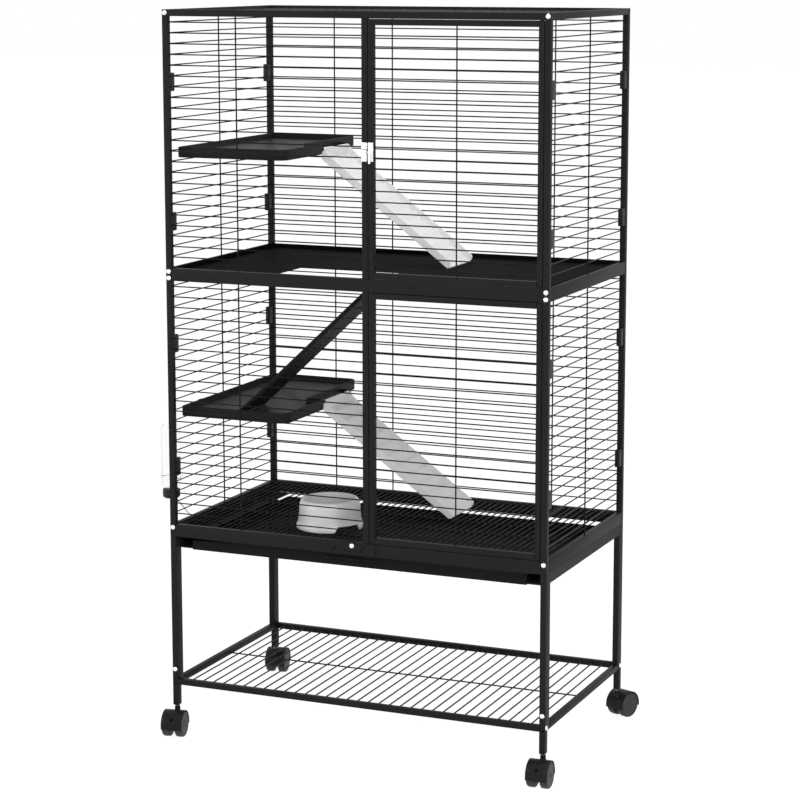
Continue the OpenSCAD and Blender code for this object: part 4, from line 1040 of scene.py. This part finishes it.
def bowl_piece():
    """Turned bowl whose lower outside edge is lifted near one direction.

    The lift is a gate in the angle that falls from one to zero over the
    notch's slanting sides. It raises only the skirt, which is the part
    outside SKIRT_R and below SKIRT_H, so the upper wall and the hollow stay
    round.
    """
    low, high = span("bowl")
    profile = rounded_profile([(0.5, 7), (44, 7), (53, 18), (53.5, 40), (57.5, 40), (59.5, 15), (63.8, 6),
                               (63.8, 0), (67, 0), (67, 6), (63.4, 13.5), (62, 24), (60.6, 47), (56.5, 57.2),
                               (50.8, 58), (49.6, 50), (50.2, 22), (49, 10.5), (34, 10), (0.5, 10)],
                              [0, 6, 5, 1, 1, 6, 3, 0.8, 1.6, 3, 5, 6, 14, 5, 3, 8, 12, 12, 8, 0], 5)
    turn = np.linspace(0, 2 * math.pi, 192, endpoint=False)
    away = np.abs((turn - NOTCH_TURN + math.pi) % (2 * math.pi) - math.pi)
    gate = np.clip((NOTCH_HALF - away) / NOTCH_SIDE, 0, 1)
    radius, height = profile[:, :1], profile[:, 1:]
    lifted = np.maximum(height, NOTCH_H * gate + 0.16 * height)
    height = np.where((radius > SKIRT_R) & (height < SKIRT_H), lifted, height)
    rings = np.stack([radius * np.cos(turn), radius * np.sin(turn), height], -1)
    points, faces = tube_surface(rings * MM)
    centre = (low + high) / 2
    piece = Piece().add(points + (centre[0], centre[1], low[2]), faces)
    return piece.make("feeding_bowl", BOWL_PLASTIC, "bowl_plastic", ("bowl",), smooth=35)


print("bowl faces:", len(bowl_piece().data.polygons))

# %% [markdown]
# ## Water bottle
#
# The bottle hangs upside down outside the wires. It is blown, so its wall is
# even and it has shallow rings. The cap has grip ribs: the radius of its side
# rises and falls thirty-two times in a turn. The tube ends in a steel ball.

# %% Bottle and cap
BOTTLE_LOW, BOTTLE_HIGH = extent("bottle")
BOTTLE_X, BOTTLE_Y = (BOTTLE_LOW[:2] + BOTTLE_HIGH[:2]) / 2
BOTTLE_R = (BOTTLE_HIGH[0] - BOTTLE_LOW[0]) / 2
NECK_R, NECK_H, GROOVE = 14.6, 8.9, 0.9
CAP_R, CAP_H, GRIP_RIBS, RIB_SHARE = 17.3, 18, 32, 0.010


def bottle_shell():
    """Turned bottle with a neck at its lower end and two shallow grooves."""
    z = BOTTLE_LOW[2] + NECK_H
    r, h = BOTTLE_R, BOTTLE_HIGH[2] - z
    outside = rounded_profile([(1, -8.5), (NECK_R, -8.5), (NECK_R, 3), (r - 2, 8), (r, 12), (r, 34),
                               (r - GROOVE, 36.5), (r, 39), (r, h - 22), (r - GROOVE, h - 19.5), (r, h - 17),
                               (r, h - 6), (r - 5, h), (1, h)],
                              [0, 1, 2, 3, 3, 1.4, 1.4, 1.4, 1.4, 1.4, 1.4, 4, 4, 0], 4)
    piece = Piece().add(*turned(outside * MM, at(BOTTLE_X, BOTTLE_Y, z), 64))
    return piece.make("bottle_shell", CLEAR, "bottle_clear", ("bottle",), smooth=35)


def bottle_cap():
    """Turned cap whose side moves out and in by a hundredth of its radius, rib by rib."""
    profile = rounded_profile([(1.9, 0), (14.5, 0), (CAP_R, 3), (CAP_R, 17.2), (16.6, CAP_H), (15, CAP_H),
                               (15, 9), (1, 9)], [0, 1, 2, 0.8, 0.8, 0.4, 0.4, 0], 4)
    points, faces = turned(profile * MM, (0, 0, 0), 128)
    turn = np.arctan2(points[:, 1], points[:, 0])
    side = np.hypot(points[:, 0], points[:, 1]) > (CAP_R - 0.4) * MM
    ribs = 1 + RIB_SHARE * np.sign(np.cos(turn * GRIP_RIBS)) * side
    points = points * np.column_stack([ribs, ribs, np.ones(len(ribs))])
    piece = Piece().add(points + at(BOTTLE_X, BOTTLE_Y, extent("bottle_cap")[0][2]), faces)
    return piece.make("bottle_cap_ribbed", CAP_PLASTIC, "cap_plastic", ("bottle_cap",), smooth=30)


bottle_shell()
bottle_cap()
print("bottle:", round(2 * BOTTLE_R, 1), "mm across")

# %% [markdown]
# ## Drinking tube and wire band
#
# The tube slants into the cage and ends in a steel ball, which a thirsty
# animal pushes back. One bent wire holds the bottle: a ring round it and two
# straight ends that reach to the bars. The ring is a torus: a small circle
# whose middle goes round a large one.

# %% Tube and band
SPOUT_R, BALL_R, SPOUT_INSET, BAND_R = 1.8, 1.7, 1.3, 0.9


def drinking_tube():
    """Straight tube with a ball at its lower end."""
    low, high = extent("drinking_tube")
    start = np.array([low[0] + SPOUT_INSET, BOTTLE_Y, high[2] - SPOUT_INSET])
    end = np.array([high[0] - SPOUT_INSET, BOTTLE_Y, low[2] + SPOUT_INSET])
    ball = end + (start - end) / np.linalg.norm(start - end) * 1.1
    piece = Piece().add(*round_rod(at(*start), at(*end), SPOUT_R * MM, 24))
    piece.add(*bead(at(*ball), np.full(3, BALL_R * MM), 16, 9))
    return piece.make("drinking_tube_steel", SPOUT_STEEL, "spout_steel", ("drinking_tube",))


def bottle_band():
    """Torus round the bottle, and a wire on each side that reaches to the bars."""
    low, high = extent("bottle_band")
    z, ring_r = (low[2] + high[2]) / 2, BOTTLE_R + 1
    turn = np.linspace(0, 2 * math.pi, 64, endpoint=False)[:, None]
    small = np.linspace(0, 2 * math.pi, 10, endpoint=False)
    reach = ring_r + BAND_R * np.cos(small)
    level = np.broadcast_to(BAND_R * np.sin(small), (64, 10))
    torus = np.stack([reach * np.cos(turn), reach * np.sin(turn), level], -1).reshape(-1, 3)
    piece = Piece().add(at(BOTTLE_X, BOTTLE_Y, z) + torus * MM, grid_faces(64, 10, True, True))
    for y in (BOTTLE_Y - ring_r, BOTTLE_Y + ring_r):
        piece.add(*round_rod(at(BOTTLE_X + 2, y, z), at(high[0], y, z), BAND_R * MM, 10))
    return piece.make("bottle_wire", LATCH_STEEL, "spout_steel", ("bottle_band",))


drinking_tube()
bottle_band()
print("band wire:", 2 * BAND_R, "mm thick")

# %% [markdown]
# ## Casters
#
# A twin-wheel caster is a swivelling hood with a wheel on each side of a web.
# The hood covers the upper half of the wheels. Its shell is a half ring of
# constant wall, swept across the caster and closed by the web in the middle.
# A small round recess dips into it at the front. Each wheel is turned: a
# rounded tread, a shallow dish and a raised hub.

# %% Shell and web of a hood
WHEEL_R, WHEEL_W, WEB_W, WHEEL_GAP, HOOD_T, TRAIL = 26, 16.5, 9, 0.8, 1.4, 19
HOOD_SKIRT, WEB_R = 6, 16
RECESS_R, RECESS_DEEP, RECESS_TURN = 3, 5, math.radians(30)


def hood_shell():
    """Half ring over the wheels, reaching a little below the axle, with round side edges.

    A point nearer to the recess's middle than its radius moves inwards by the
    recess's depth, on the shell's outer and inner face alike, so that the
    shell dips there as a cup of even wall.
    """
    inner, outer = WHEEL_R + WHEEL_GAP, WHEEL_R + WHEEL_GAP + HOOD_T
    half = WEB_W / 2 + WHEEL_W + WHEEL_GAP
    low = math.asin(HOOD_SKIRT / outer)
    turn = np.linspace(-low, math.pi + low, 145)[:, None]
    middle = np.array([-4, -3.4, -2.8, -2, -1, 0, 1, 2, 2.8, 3.4, 4])
    edge = [(-half, outer - 1.1), (-half + 0.3, outer - 0.4), (-half + 1.1, outer)]
    section = edge + [(x, outer) for x in middle] + [(-x, radius) for x, radius in edge[::-1]]
    section += [(half, inner + 0.2), (half - 0.3, inner)] + [(x, inner) for x in middle[::-1]]
    section += [(-half + 0.3, inner), (-half, inner + 0.2)]
    across, radius = np.array(section).T
    away = np.hypot(across, (turn - RECESS_TURN) * outer)
    radius = radius - RECESS_DEEP * np.clip((RECESS_R - away) / 0.6 + 0.5, 0, 1)
    rings = np.stack([np.broadcast_to(across, radius.shape), -TRAIL - radius * np.cos(turn),
                      WHEEL_R + radius * np.sin(turn)], -1)
    return tube_surface(rings)


def web_plate():
    """Web between the wheels: the hood's half disc, and a smaller disc round the axle.

    Under the recess the half disc keeps clear of the cup.
    """
    inner = WHEEL_R + WHEEL_GAP + 0.4
    low = math.asin(HOOD_SKIRT / inner)
    turn = np.linspace(-low, math.pi + low, 73)
    radius = np.where(np.abs(turn - RECESS_TURN) * inner < RECESS_R + 1, inner - RECESS_DEEP - 2, inner)
    upper = np.column_stack([-TRAIL - radius * np.cos(turn), WHEEL_R + radius * np.sin(turn)])
    start = math.asin(HOOD_SKIRT / WEB_R)
    turn = np.linspace(start, math.pi - start, 25)
    under = np.column_stack([-TRAIL + WEB_R * np.cos(turn), WHEEL_R - WEB_R * np.sin(turn)])
    outline = np.concatenate([upper, under])
    sides = [np.column_stack([np.full(len(outline), x), outline]) for x in (-WEB_W / 2, WEB_W / 2)]
    return tube_surface(np.array(sides))


print("hood shell and web:", len(hood_shell()[0]), "and", len(web_plate()[0]), "points")

# %% [markdown]
# ## The casters on their legs
#
# Each caster is drawn once, with its stem at the middle and its wheels behind
# it, and carried to its leg. The four stand as they were left after the cage
# was rolled, so each has its own turn.

# %% Casters
CASTER_TURNS = {"front_left": 11, "front_right": 3, "back_left": 190, "back_right": 159}
STEM_IN, STEM_R, AXLE_R = 7.5, 3.9, 2.8
FOOT_Z = extent("leg_front_left")[0][2]


def on_leg(surface, corner):
    """Carries a surface from the caster's own measure to its leg."""
    points, faces = surface
    low, high = extent("leg_" + corner)
    y = low[1] + STEM_IN if "front" in corner else high[1] - STEM_IN
    return carried(points * MM, at((low[0] + high[0]) / 2, y, 0), math.radians(CASTER_TURNS[corner])), faces


def caster_hood(corner):
    """Shell, web and the turned boss that holds the stem."""
    boss = rounded_profile([(0.5, WHEEL_R + 16), (8, WHEEL_R + 17), (5.5, FOOT_Z - 10), (5.5, FOOT_Z - 3),
                            (0.5, FOOT_Z - 3)], [0, 1, 5, 0.8, 0], 4)
    piece = Piece()
    for surface in (hood_shell(), web_plate(), turned(boss, (0, 0, 0), 32)):
        piece.add(*on_leg(surface, corner))
    return piece.make("caster_hood_" + corner, HOOD_PLASTIC, "hood_plastic", ("hood_" + corner,))


def caster_stem(corner):
    """Steel pin that goes up into the leg, with a collar under the leg's foot."""
    low_z, high_z = FOOT_Z - 3.2, FOOT_Z - 0.2
    collar = rounded_profile([(0.5, low_z), (5, low_z), (5, high_z), (0.5, high_z)], [0, 0.8, 0.5, 0], 3)
    piece = Piece().add(*on_leg(turned(collar, (0, 0, 0), 32), corner))
    piece.add(*on_leg(round_rod((0, 0, FOOT_Z - 1), (0, 0, FOOT_Z + 14), STEM_R, 20), corner))
    return piece.make("caster_stem_" + corner, STEM_STEEL, "screw_steel", body="swivel_" + corner)


def caster_wheels(corner):
    """Two turned wheels, the second one mirrored, and the axle between them."""
    tread = rounded_profile([(3.2, 0), (23, 0), (25.6, 1.4), (26, 4), (26, 12.5), (25.4, 15), (23, 16.5),
                             (21, 16.5), (20.2, 15.9), (10.4, 15.9), (9.6, 16.5), (4.5, 16.5), (3.6, 15.6),
                             (0.5, 15.6)], [0, 1, 2, 3, 3, 2, 1, 0.8, 1.2, 1.2, 0.8, 0.6, 0.6, 0], 3)
    points, faces = turned(tread, (0, 0, 0), 72, 0)
    wheel_x = WEB_W / 2 + WHEEL_GAP
    piece = Piece()
    for side in (-1, 1):
        wheel = points * (side, 1, 1) + (side * wheel_x, -TRAIL, WHEEL_R)
        piece.add(*on_leg((wheel, faces), corner))
    axle = round_rod((-wheel_x - 1, -TRAIL, WHEEL_R), (wheel_x + 1, -TRAIL, WHEEL_R), AXLE_R, 20)
    piece.add(*on_leg(axle, corner))
    return piece.make("wheel_pair_" + corner, WHEEL_PLASTIC, "wheel_plastic", ("wheels_" + corner,))


for corner in CASTER_TURNS:
    caster_hood(corner)
    caster_stem(corner)
    caster_wheels(corner)
print("casters:", len(CASTER_TURNS))

# %% [markdown]
# ## Screws and clips
#
# The screw heads are low domes with a small round socket, and all are one
# piece, because they never move on their own. The clips are plain moulded
# blocks that hold the side panels to the posts.

# %% Screws and clips
LEG_SCREW, BASE_SCREW, MID_SCREWS, SIDE_SCREW = 31.5, 18.5, (5.5, 18.5), 7
CLIP_HALF_W, CLIP_LONG, CLIP_HALF_H = 5, 17, 18
LOWER_CLIP, UPPER_CLIP, HEAD_CLIP = 114.5, 90.5, 127.5
FACING = {"front": math.pi, "back": 0.0, "left": math.pi / 2, "right": -math.pi / 2}


def dome(place, direction):
    """Low dome with a socket, turned to look along one of the four level directions."""
    profile = rounded_profile([(0.4, 1.0), (1.5, 1.0), (1.7, 2.3), (2.6, 2.25), (4.0, 1.6), (4.85, 0.5),
                               (5, 0), (2, 0), (2, -2), (0.4, -2)],
                              [0, 0.2, 0.3, 1, 1.5, 0.6, 0.1, 0, 0.2, 0], 3)
    points, faces = turned(profile, (0, 0, 0), 24, 1)
    return carried(points * MM, at(*place), FACING[direction]), faces


def screw_heads():
    """Heads on the posts in front and behind, on the base rail, and on the legs' outer sides."""
    levels = [SHELF_LOW_MM + LEG_SCREW, BASE_LOW_MM + BASE_SCREW, MID_LOW_MM + MID_SCREWS[0],
              MID_LOW_MM + MID_SCREWS[1], top_z]
    piece = Piece()
    for x in (HALF_TUBE, WIDE - HALF_TUBE):
        for z in levels:
            piece.add(*dome((x, 0, z), "front"))
            piece.add(*dome((x, DEEP, z), "back"))
    piece.add(*dome((WIDE / 2, -2, BASE_LOW_MM + BASE_SCREW), "front"))
    for y in (STEM_IN, DEEP - STEM_IN):
        piece.add(*dome((0, y, SHELF_LOW_MM + SIDE_SCREW), "left"))
        piece.add(*dome((WIDE, y, SHELF_LOW_MM + SIDE_SCREW), "right"))
    return piece.make("screw_heads", SCREW_STEEL, "screw_steel", ("screws",))


def clip_blocks():
    """A block at each post and side panel, near the foot and the head of a tier."""
    levels = (BASE_TOP_MM + LOWER_CLIP, MID_LOW_MM - HEAD_CLIP,
              MID_TOP_MM + UPPER_CLIP, TOP_LOW_MM - HEAD_CLIP)
    places = [(x, y, z) for z in levels for x in (HALF_TUBE, WIDE - HALF_TUBE)
              for y in (TUBE_MM, DEEP - TUBE_MM - CLIP_LONG)]
    boxes = [((x - CLIP_HALF_W, y, z - CLIP_HALF_H), (x + CLIP_HALF_W, y + CLIP_LONG, z + CLIP_HALF_H))
             for x, y, z in places]
    return bars("clip_blocks", CLIP_PLASTIC, "clip_plastic", ("panel_clips",), boxes, 1.8)


print("screws and clips:", len(screw_heads().data.polygons), len(clip_blocks().data.polygons), "faces")

# %% [markdown]
# ## Latch
#
# The keeper on the divider and the plate on the door are stamped: a raised
# field in the middle stiffens the thin sheet. A lever hangs on the door's
# rivet and turns up behind the keeper's tongue. Its outline is two round ends
# joined by a narrow neck.

# %% Latch
LATCH_Z = MID_TOP_MM + 241.5
SHEET_T, PRESSED, RIVET_IN, RIVET_R = 1.2, 0.5, 3.5, 1.5
LEVER_HEAD, LEVER_TIP, LEVER_LEN, LEVER_T = 3.5, 2.4, 20, 2


def latch_keeper():
    """Plate with a pressed field, and a tongue bent forwards in two parts."""
    low, high = extent("latch_keeper")
    field_top = LATCH_Z - 8
    boxes = [((low[0], -SHEET_T, low[2]), (high[0], 0, high[2])),
             ((low[0] + 2.2, -SHEET_T - PRESSED, low[2] + 3), (high[0] - 2.2, -SHEET_T + 0.2, field_top)),
             ((low[0], low[1], LATCH_Z - 3.5), (high[0], low[1] + 1, LATCH_Z + 5.3)),
             ((low[0], low[1], LATCH_Z + 3.8), (high[0], 0, LATCH_Z + 5.3))]
    return bars("keeper_plates", LATCH_STEEL, "latch_metal", ("latch_keeper",), boxes, 0.4)


def latch_plate():
    """Plate on the door's stile with a pressed field, and the rivet that carries the lever."""
    low, high = extent("latch_plate")
    rivet_x = low[0] + RIVET_IN
    field_low = (low[0] + 2.4, -SHEET_T - PRESSED / 2, LATCH_Z + 7)
    field_high = (high[0] - 2.4, -SHEET_T + 0.2, high[2] - 3)
    boxes = [((low[0], -SHEET_T, low[2]), (high[0], 0.25, high[2])), (field_low, field_high)]
    piece = Piece()
    for start, end in boxes:
        piece.add(*rounded_bar(at(*start), at(*end), 0.4 * MM))
    piece.add(*round_rod(at(rivet_x, 0, LATCH_Z), at(rivet_x, low[1] + 0.5, LATCH_Z), RIVET_R * MM, 20))
    head = rounded_profile([(0.3, 0), (2.9, 0), (2.9, 0.4), (2.2, 0.95), (0.3, 1)], [0, 0.1, 0.3, 0.5, 0], 3)
    points, faces = turned(head, (0, 0, 0), 24, 1)
    piece.add(carried(points * MM, at(rivet_x, low[1] + 1, LATCH_Z), FACING["front"]), faces)
    return piece.make("latch_plate_stamped", LATCH_STEEL, "latch_metal", ("latch_plate",))


def latch_lever():
    """Lever with a round head, a narrow neck and a round tip, in the rivet's measure."""
    turn = np.linspace(0, math.pi, 13)[:, None]
    head = LEVER_HEAD * np.hstack([np.cos(turn), np.sin(turn)])
    turn = np.linspace(math.pi * 0.95, math.pi * 2.05, 13)[:, None]
    tip = LEVER_TIP * np.hstack([np.cos(turn), np.sin(turn)]) - (0, LEVER_LEN)
    neck = np.array([(-3.2, -1.4), (-1.9, -4), (-1.8, -17.5)])
    outline = np.concatenate([head, neck, tip, neck[::-1] * (-1, 1)])
    points, faces = slab(outline, 0, LEVER_T, 0.5)
    rivet = at(extent("latch_plate")[0][0] + RIVET_IN, extent("latch_lever")[0][1], LATCH_Z)
    piece = Piece().add(points * MM + rivet, faces)
    return piece.make("latch_lever_soft", LATCH_STEEL, "latch_metal", ("latch_lever",))


latch_pieces = [latch_keeper(), latch_plate(), latch_lever()]
print("latch:", [piece.name for piece in latch_pieces])

# %% [markdown]
# ## Sheet metal
#
# The upper floor, the tray, its runners and the stop plate are right as they
# are in the construction. They only need a rolled edge, which a bevel modifier
# gives them, and the satin coat of sheet metal. The upper floor's coat is a
# darker copy with hardly any sheen: painted shade.

# %% Coat the sheet metal
EDGE_ROLL = 0.35


def coat(node, material):
    """Gives a node of the construction its finish and narrow rounded edges."""
    thing = frame["nodes"][node]
    thing.data.materials.clear()
    thing.data.materials.append(material)
    soft = thing.modifiers.new("rolled edge", "BEVEL")
    soft.width = EDGE_ROLL * MM
    soft.segments = 2
    soft.limit_method = "ANGLE"
    soft.angle_limit = math.radians(40)


# The upper floor gets the darker copy of the coat: painted shade.
coat("upper_floor", SHADED_PAN_COAT)
coat("tray", SHEET_COAT)
for node in ("runner_left", "runner_right", "lock_plate"):
    coat(node, FRAME_COAT)
print("coated as built:", sum(bool(thing.modifiers) for thing in frame["nodes"].values()), "nodes")

# %% [markdown]
# ## Floor
#
# The picture has a white ground without a horizon. The floor is therefore a
# large sheet of pale paper. Where the camera looks, straight on, in a
# reflection or through glass, most of it glows white, and the rest is lit
# paper, so that the casters keep their shadow. For all other light it is
# plain paper.

# %% Floor
WHITE = (1, 1, 1, 1)
FLOOR_HALF, GLOW, GLOW_SHARE = 30, 1.1, 0.86
corners = [(x * FLOOR_HALF, y * FLOOR_HALF, 0) for x, y in ((-1, -1), (1, -1), (1, 1), (-1, 1))]
floor_mesh = bpy.data.meshes.new("floor")
floor_mesh.from_pydata(corners, [], [(0, 1, 2, 3)])
floor = bpy.data.objects.new("floor", floor_mesh)
bpy.context.scene.collection.objects.link(floor)
paper = Finish("floor_paper", grey(0.9), 0.9)
paper.feed("Base Color", paper.between(paper.noise(30, 2), grey(0.88), grey(0.9)))
glow = paper.node("ShaderNodeEmission", {}, {"Color": WHITE, "Strength": GLOW})
layers = {0: paper.looked_at() * GLOW_SHARE, 1: paper.shader.outputs[0], 2: glow.outputs[0]}
seen = paper.node("ShaderNodeMixShader", {}, layers)
paper.tree.links.new(seen.outputs[0], paper.output.inputs["Surface"])
floor_mesh.materials.append(paper.material)
print("floor:", 2 * FLOOR_HALF, "metres wide")

# %% [markdown]
# ## World and light
#
# The world is white where the camera looks and a middle grey where it lights.
# Black metal shows its shape only by what it reflects, so the lamps are
# large: a broad panel in front on the right, a weaker one on the left and one
# above.

# %% World and lamps
bpy.context.scene.view_settings.view_transform = "Standard"
world = bpy.data.worlds.new("studio")
bpy.context.scene.world = world
studio = Net(world)
white = studio.node("ShaderNodeBackground", {}, {"Color": WHITE})
soft = studio.node("ShaderNodeBackground", {}, {"Color": (*grey(0.55), 1)})
layers = {0: studio.looked_at(), 1: soft.outputs[0], 2: white.outputs[0]}
mix = studio.node("ShaderNodeMixShader", {}, layers)
studio.node("ShaderNodeOutputWorld", {}, {"Surface": mix.outputs[0]})


def lamp(name, place, target, size, watts):
    """Square area light that looks at a target."""
    data = bpy.data.lights.new(name, "AREA")
    data.shape = "SQUARE"
    data.size = size
    data.energy = watts
    thing = bpy.data.objects.new(name, data)
    bpy.context.scene.collection.objects.link(thing)
    thing.location = place
    x, y, z = np.array(target, float) - np.array(place, float)
    rise = math.atan2(z, math.hypot(x, y))
    thing.rotation_euler = (math.pi / 2 + rise, 0, math.atan2(y, x) - math.pi / 2)
    return thing


MIDDLE = (0, 0, 0.75)
lamp("key", (2.6, -2.6, 2.2), MIDDLE, 2.2, 95)
lamp("fill", (-2.8, -2.2, 1.4), MIDDLE, 2.4, 45)
lamp("top", (0.2, 0.3, 3.4), MIDDLE, 2.0, 40)
print("lamps:", len(bpy.data.lights))

# %% [markdown]
# ## Check the size and finish
# The dressed cage must fill the same box as the solids. The box of the solids
# is printed here.

# %% Print the box of the solids
print("solids:", [round(v, 4) for v in (*cad_low, *cad_high)])
